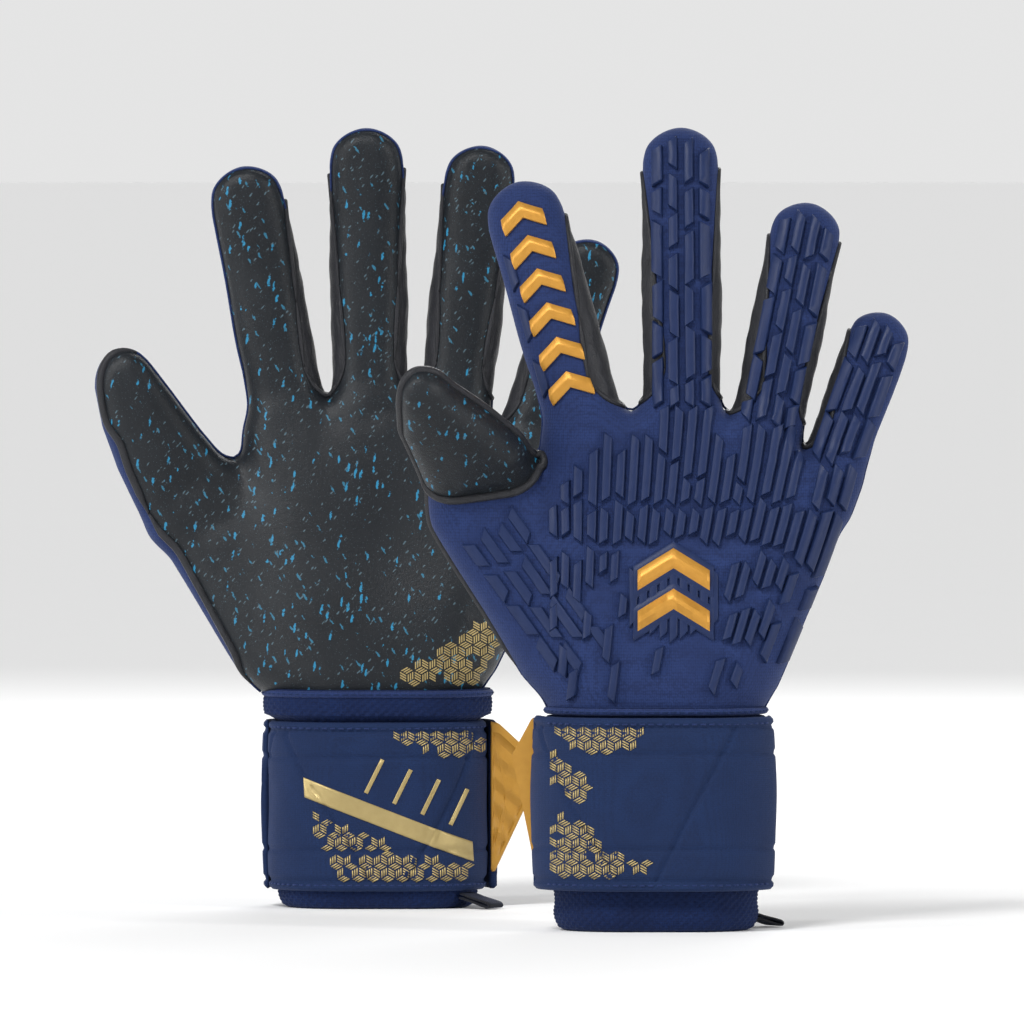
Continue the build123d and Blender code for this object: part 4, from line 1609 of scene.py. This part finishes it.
def strap_relief(u, v, seed):
    """The strap's soft surface: welts by its edges, slanted pressed lines, and low waves."""
    tall = STRAP_HEIGHT
    edge = np.minimum(v, tall - v)
    relief = -1.1 * np.clip(1 - edge / 1.6, 0, 1) ** 2 + groove(edge - 3.4, 0.8, 1.1)
    relief = relief + 0.45 * (1 - np.exp(-np.maximum(edge - 3.4, 0) / 5))
    for at, slope in ((14, 0.55), (47, -0.45), (92, 0.5), (128, -0.6), (170, 0.5)):
        relief = relief + groove((u - at - seed) - slope * (v - tall / 2), 0.9, 1.0) * (edge > 3.4)
    relief = relief + groove(v - tall * 0.24, 0.8, 0.8) + groove(v - tall * 0.79, 0.8, 0.8)
    fold = np.sin(u / 5.5 + 2.0 * np.sin(v / 13.0) + seed) * np.sin(u / 17.0 + v / 21.0)
    return relief + 0.3 * np.sin(u / 8.5 + seed) * np.sin(v / 9.0 + 0.6) + 0.25 * fold


def band_sheet(glove, size, thick, low, high, span, relief, wide_step=0.9, tall_step=1.0, fold=None):
    """A band round the cuff, all round or over a share of the ring, as points and faces.

    fold is the distance round the ring at which the sheet is tucked down to the band below it.
    """
    places, normals, distance, total = slot_ring(*size, wide_step)
    chosen = np.arange(len(places))
    closed = span is None
    if not closed:
        ring = np.concatenate([distance, [total]])
        start, stop = span[0] * total, span[1] * total
        chosen = np.arange(len(places) + 1)[(ring >= start - 1e-6) & (ring <= stop + 1e-6)] % len(places)
        distance = np.where(chosen < chosen[0], distance[chosen] + total, distance[chosen])
    else:
        distance = distance[chosen]
    outer, inner = [], []
    for v in np.linspace(0, high - low, int((high - low) / tall_step) + 1):
        tuck = np.exp(-(np.abs(distance - fold) / 7) ** 2) if fold is not None else np.zeros(len(chosen))
        lift = thick + relief(distance, v) - 2.3 * tuck
        for rows, grow in ((outer, np.maximum(lift, 0.4 - tuck)), (inner, 0.05 - 1.3 * tuck)):
            rows.append(at_height(glove, places[chosen] + normals[chosen] * grow[:, None], low + v))
    return sheet_grid((np.array(outer), np.array(inner)), closed)


def build_strap(glove):
    """The strap's band, and its free end over one half of it, bending at the fold."""
    low, high = glove.strap_low, glove.strap_low + STRAP_HEIGHT
    ring = band_sheet(glove, KNIT, 2.6, low, high, None, lambda u, v: strap_relief(u, v, 3.0))
    obj = make(f"{glove.name}_strap_band", *ring, STRAP_CLOTH)
    fix(obj, glove.body("hand"), "navy_strap", f"{glove.name}_wrist_strap")
    half = (0.0, 0.5) if glove.pad < 0 else (0.5, 1.0)
    fold = slot_ring(*END_SIZE, 0.9)[3] * (0.5 if glove.pad < 0 else 1.0)
    end = band_sheet(glove, END_SIZE, 2.8, low, high, half, lambda u, v: strap_relief(u, v, 11.0), fold=fold)
    obj = make(f"{glove.name}_strap_free_end", *end, STRAP_CLOTH)
    edge = glove.cuff_x - glove.end * (END_SIZE[0] / 2 + 2.0)
    near, far = ((edge + glove.end * reach, glove.y, low) for reach in (0.0, FOLD_REACH))
    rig.blend(obj, glove.body("hand"), glove.body("strap_end"), tuple(np.array(near) * MM),
             tuple(np.array(far) * MM))
    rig.replaces(obj, f"{glove.name}_strap_end")
    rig.slot(obj, "navy_strap")
    return ring, end


def band_print(x, low, ground):
    """The palm side: cubes round a broad slanted stripe, and four slim ones above it."""
    fields = (
        ((3, 56), (34, 57), (39, 50), (28, 47), (12, 52)),
        ((-22, 28), (-23, 14), (4, 14), (2, 18)),
        ((-17, 12), (-14, 3), (34, 3), (34, 9), (6, 14)),
    )
    patches = [Patch(*[(x + across, low + up) for across, up in field]) for field in fields]
    strokes = [part for patch in patches for part in rhombille(ground, patch)]
    broad = [(x - 26, low + 37), (x + 34, low + 13.8)]
    strokes.append(moulding_bar(ground, broad, 6.4, 0.3, (1.5, 1.5), FLAT_PROFILE, 1.0, 0.2))
    for k in range(4):
        slim = [(x - 4 + 10 * k, low + 35 - 3.8 * k), (x + 2 + 10 * k, low + 47 - 3.6 * k)]
        strokes.append(moulding_bar(ground, slim, 1.5, 0.3, (0, 0), RIB_PROFILE, 1.0, 0.2))
    return strokes


def end_print(x, low, side, ground):
    """The back: three fields of cubes by the free end."""
    fields = (
        ((38, 57), (4, 57), (8, 50), (24, 47), (30, 50)),
        ((37, 49), (31, 46), (22, 36), (27, 30), (36, 38)),
        ((36, 26), (24, 25), (16, 14), (2, 10), (2, 4), (37, 4)),
    )
    patches = [Patch(*[(x + side * across, low + up) for across, up in field]) for field in fields]
    return [part for patch in patches for part in rhombille(ground, patch)]


def build_strap_prints(glove, ring, end):
    """Gold print on both faces of the strap."""
    for name, (points, faces), side, body in (
        ("band", ring, glove.pad, "hand"), ("end", end, -glove.pad, "strap_end"),
    ):
        tris = [tri for a, b, c, d in faces for tri in ((a, b, c), (a, c, d))]
        ground = Ground(points, tris, side)
        if name == "band":
            strokes = band_print(glove.cuff_x, glove.strap_low, ground)
        else:
            strokes = end_print(glove.cuff_x, glove.strap_low, glove.end, ground)
        obj = make(f"{glove.name}_strap_{name}_print", *gather([s for s in strokes if s]), GOLD_PRINT)
        fix(obj, glove.body(body), "gold_moulding")


def build_tab(glove):
    """The moulded tab on the strap's free end: a rounded plate with pressed diagonal facets."""
    side, low, high = glove.end, glove.strap_low, glove.strap_low + STRAP_HEIGHT
    reach = 14.0 if glove.pad < 0 else 7.0
    root = glove.cuff_x + side * 40.3
    shoulder = root + side * 2.8
    tip = shoulder + side * reach
    corners = [(root, high - 0.5), (shoulder, high - 1.0), (tip, low + 46), (tip - side * 3, low + 32),
               (root + side * 1.5, low + 6), (root, low + 6)]
    outline = resample(np.array([(x, 0, z) for x, z in corners + corners[:1]]), 1.2)[:-1]
    middle = outline.mean(0)
    front, back = glove.y + glove.pad * 2.4, glove.y + glove.pad * 0.1
    points, n = [], len(outline)
    shares = (1.0, 1.0, 0.975, 0.93, 0.86, 0.8, 0.7, 0.6, 0.5, 0.4, 0.3, 0.2, 0.1)
    for number, share in enumerate(shares):
        ring = middle + (outline - middle) * share
        facet = np.abs(((ring[:, 0] * side * 0.8 + ring[:, 2]) / 9.0) % 1 - 0.5) * 2
        rise = (0.15, 1.3, 2.0, 2.3, 2.3, 1.0, 0.9)[min(number, 6)] + (1.3 * facet if number > 4 else 0)
        for (x, _, z), up in zip(ring, np.broadcast_to(rise, n)):
            points.append((x, back + (front - back) * up / 2.4, z))
    faces = [(a + j, a + (j + 1) % n, a + n + (j + 1) % n, a + n + j)
             for a in range(0, n * (len(shares) - 1), n) for j in range(n)]
    crown = float(np.mean([point[1] for point in points[-n:]]))
    points += [(middle[0], crown, middle[2]), (middle[0], back, middle[2])]
    last = n * (len(shares) - 1)
    faces += [(last + j, last + (j + 1) % n, len(points) - 2) for j in range(n)]
    faces += [((j + 1) % n, j, len(points) - 1) for j in range(n)]
    if side * glove.pad > 0:
        faces = [face[::-1] for face in faces]
    obj = make(f"{glove.name}_moulded_tab", points, faces, AMBER)
    obj.data.set_sharp_from_angle(angle=math.radians(28))
    fix(obj, glove.body("strap_end"), "amber_rubber", f"{glove.name}_strap_tab")


def build_hook(glove):
    """The hook patch inside the free end, a pad of short hooks in rows."""
    total = slot_ring(*HOOK_SIZE, 0.9)[3]
    start = (0.5 if glove.pad > 0 else 0.0) + 4 / total
    low = glove.strap_low + 12

    def hooks(u, v):
        return 0.25 * np.cos(2 * math.pi * u / 1.8) * math.cos(2 * math.pi * v / 1.8) - 0.1

    patch = band_sheet(glove, HOOK_SIZE, 0.9, low, low + 36, (start, start + 30 / total), hooks, 0.45, 0.45)
    obj = make(f"{glove.name}_hooks", *patch, HOOK)
    fix(obj, glove.body("strap_end"), "hook_tape", f"{glove.name}_hook_patch")


def build_binding(glove):
    """The rolled binding on the free end's edge, and a row of stitches inside each of its welts."""
    low, side = glove.strap_low, glove.end
    x = glove.cuff_x + side * 41.0
    spots = [(x, glove.y - glove.pad * 0.6, low + 0.9 + 1.94 * k) for k in range(31)]
    obj = make(f"{glove.name}_end_binding", *tube([spots], 1.6, 10), STRAP_CLOTH)
    fix(obj, glove.body("strap_end"), "navy_strap")
    for name, grow, body in (("band", 2.5, "hand"), ("end", 6.75, "strap_end")):
        stitches = []
        for z in (low + 2.1, low + 57.9):
            ring = ring_path(glove, grow, z)
            if name == "end":
                ring = ring[(ring[:, 1] - glove.y) * glove.pad < -14.0]
                turn = np.arctan2((ring[:, 1] - glove.y) * -glove.pad, ring[:, 0] - glove.cuff_x)
                ring = ring[np.argsort(turn)]
            stitches += dashes(ring, 2.2, 1.3)
        obj = make(f"{glove.name}_{name}_stitches", *tube(stitches, 0.3, 6), NAVY)
        fix(obj, glove.body(body), "navy_strap")


def build_loop(glove):
    """The pull loop: a folded tape, sewn together near the hem and open at its far end."""
    bearing, tilt = math.radians(35.0), math.radians(75.0)
    out = np.array((math.cos(bearing), glove.pad * math.sin(bearing), 0.0))
    radius = 22.0 + 2.5 * 4.4 / 6.0 + 1.2 + 0.5
    origin = np.array((glove.cuff_x + 11.5, glove.y, 4.4)) + out * radius
    forward = np.array((*(math.sin(tilt) * out[:2]), -math.cos(tilt)))
    side = np.array((-out[1], out[0], 0.0))
    up = np.cross(side, forward)
    up *= 1 if up[2] > 0 else -1
    leg = [(0.75, -1.0), (0.72, 1.5), (0.62, 3.5), (0.7, 6.0), (0.8, 9.0), (0.78, 11.2), (0.45, 12.1)]
    spine = np.array([(-rise, reach) for rise, reach in leg] + [(0.0, 12.3)] + leg[::-1])
    turn = unit(np.gradient(spine, axis=0))
    thick = np.stack([turn[:, 1], -turn[:, 0]], 1) * 0.36
    points, sections = [], (-4.4, -4.2, -2.1, 0.0, 2.1, 4.2, 4.4)
    for sign in (1, -1):
        for across in sections:
            tight = 0.55 if abs(across) > 4.3 else 1.0
            for (rise, reach) in spine + thick * sign * tight:
                points.append(origin + side * across + up * rise + forward * reach)
    tall, wide = len(sections), len(spine)
    grid = np.array(points).reshape(2, tall, wide, 3)
    points, faces = sheet_grid((grid[0], grid[1]), False)
    obj = make(f"{glove.name}_folded_loop", points, faces, TAPE)
    fix(obj, glove.body("pull_loop"), "black_tape", f"{glove.name}_pull_loop")


for glove in (LEFT, RIGHT):
    skin = SKINS[glove.name]
    build_tab(glove)
    build_hook(glove)
    build_binding(glove)
    build_loop(glove)
    build_seams(glove, skin)
    build_backhand(glove, skin)
    build_palm_print(glove, skin)
    build_knit(glove)
    build_hem(glove)
    build_strap_prints(glove, *build_strap(glove))


# ---------------------------------------------------------------- stage

def area_light(name, place, target, size, power, size_y=None):
    light = bpy.data.lights.new(name, "AREA")
    light.shape = "RECTANGLE"
    light.size = size
    light.size_y = size_y or size
    light.energy = power
    obj = bpy.data.objects.new(name, light)
    obj.location = place
    obj.rotation_euler = (Vector(target) - Vector(place)).to_track_quat("-Z", "Y").to_euler()
    bpy.context.scene.collection.objects.link(obj)


def build_floor():
    look = Look("pale_floor", 0.9, (0.86, 0.86, 0.86))
    look.colour(look.mix(look.noise(look.scaled(40, 40, 40)), (0.975, 0.975, 0.975), (0.985, 0.985, 0.985)))
    side = 30000.0
    floor = make("floor", [(-side, -side, 0), (side, -side, 0), (side, side, 0), (-side, side, 0)],
                 [(0, 1, 2, 3)], look.material)
    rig.stage(floor)


def build_world():
    """White light all round, weaker from above than from the horizon."""
    world = bpy.data.worlds.new("studio")
    world.use_nodes = True
    tree = world.node_tree
    direction = tree.nodes.new("ShaderNodeTexCoord")
    split = tree.nodes.new("ShaderNodeSeparateXYZ")
    glow = tree.nodes.new("ShaderNodeMapRange")
    glow.inputs["From Min"].default_value = 0.05
    glow.inputs["From Max"].default_value = 0.4
    glow.inputs["To Min"].default_value = 0.78
    glow.inputs["To Max"].default_value = 0.3
    tree.links.new(direction.outputs["Generated"], split.inputs[0])
    tree.links.new(split.outputs["Z"], glow.inputs["Value"])
    tree.links.new(glow.outputs[0], tree.nodes["Background"].inputs["Strength"])
    tree.nodes["Background"].inputs["Color"].default_value = (1.0, 1.0, 1.0, 1)
    bpy.context.scene.world = world
    bpy.context.scene.view_settings.view_transform = "Standard"


def build_lights():
    """A tall strip on each side, a soft light from behind, and a sun from in front and above."""
    middle = (0.005, 0.0, 0.14)
    area_light("left_strip", (-1.5, -0.9, 0.4), middle, 0.25, 17, 1.6)
    area_light("right_strip", (1.5, -0.9, 0.4), middle, 0.25, 15, 1.6)
    area_light("back", (0.3, 1.8, 1.2), middle, 1.0, 14)
    sun = bpy.data.lights.new("sun", "SUN")
    sun.energy = 2.0
    sun.angle = math.radians(16)
    sun_obj = bpy.data.objects.new("sun", sun)
    sun_obj.rotation_euler = Vector((0.42, 1.0, -1.05)).to_track_quat("-Z", "Y").to_euler()
    bpy.context.scene.collection.objects.link(sun_obj)


def build_camera():
    """A long lens in front, a little above the gloves' middle."""
    data = bpy.data.cameras.new("camera")
    data.sensor_width = 36
    data.lens = 659.6
    data.clip_end = 100
    camera = bpy.data.objects.new("camera", data)
    target = Vector((0.0046, 0.0109, 0.1429))
    tip = math.radians(1.5)
    camera.location = target + Vector((0, -math.cos(tip), math.sin(tip))) * 6.6
    camera.rotation_euler = (target - camera.location).to_track_quat("-Z", "Y").to_euler()
    bpy.context.scene.collection.objects.link(camera)
    bpy.context.scene.camera = camera


build_floor()
build_world()
build_lights()
build_camera()
with open("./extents.json", "w") as out:
    corners = {"cad": CAD_BOX, "visual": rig.bounds()}
    json.dump({key: [list(map(float, corner)) for corner in box] for key, box in corners.items()}, out)
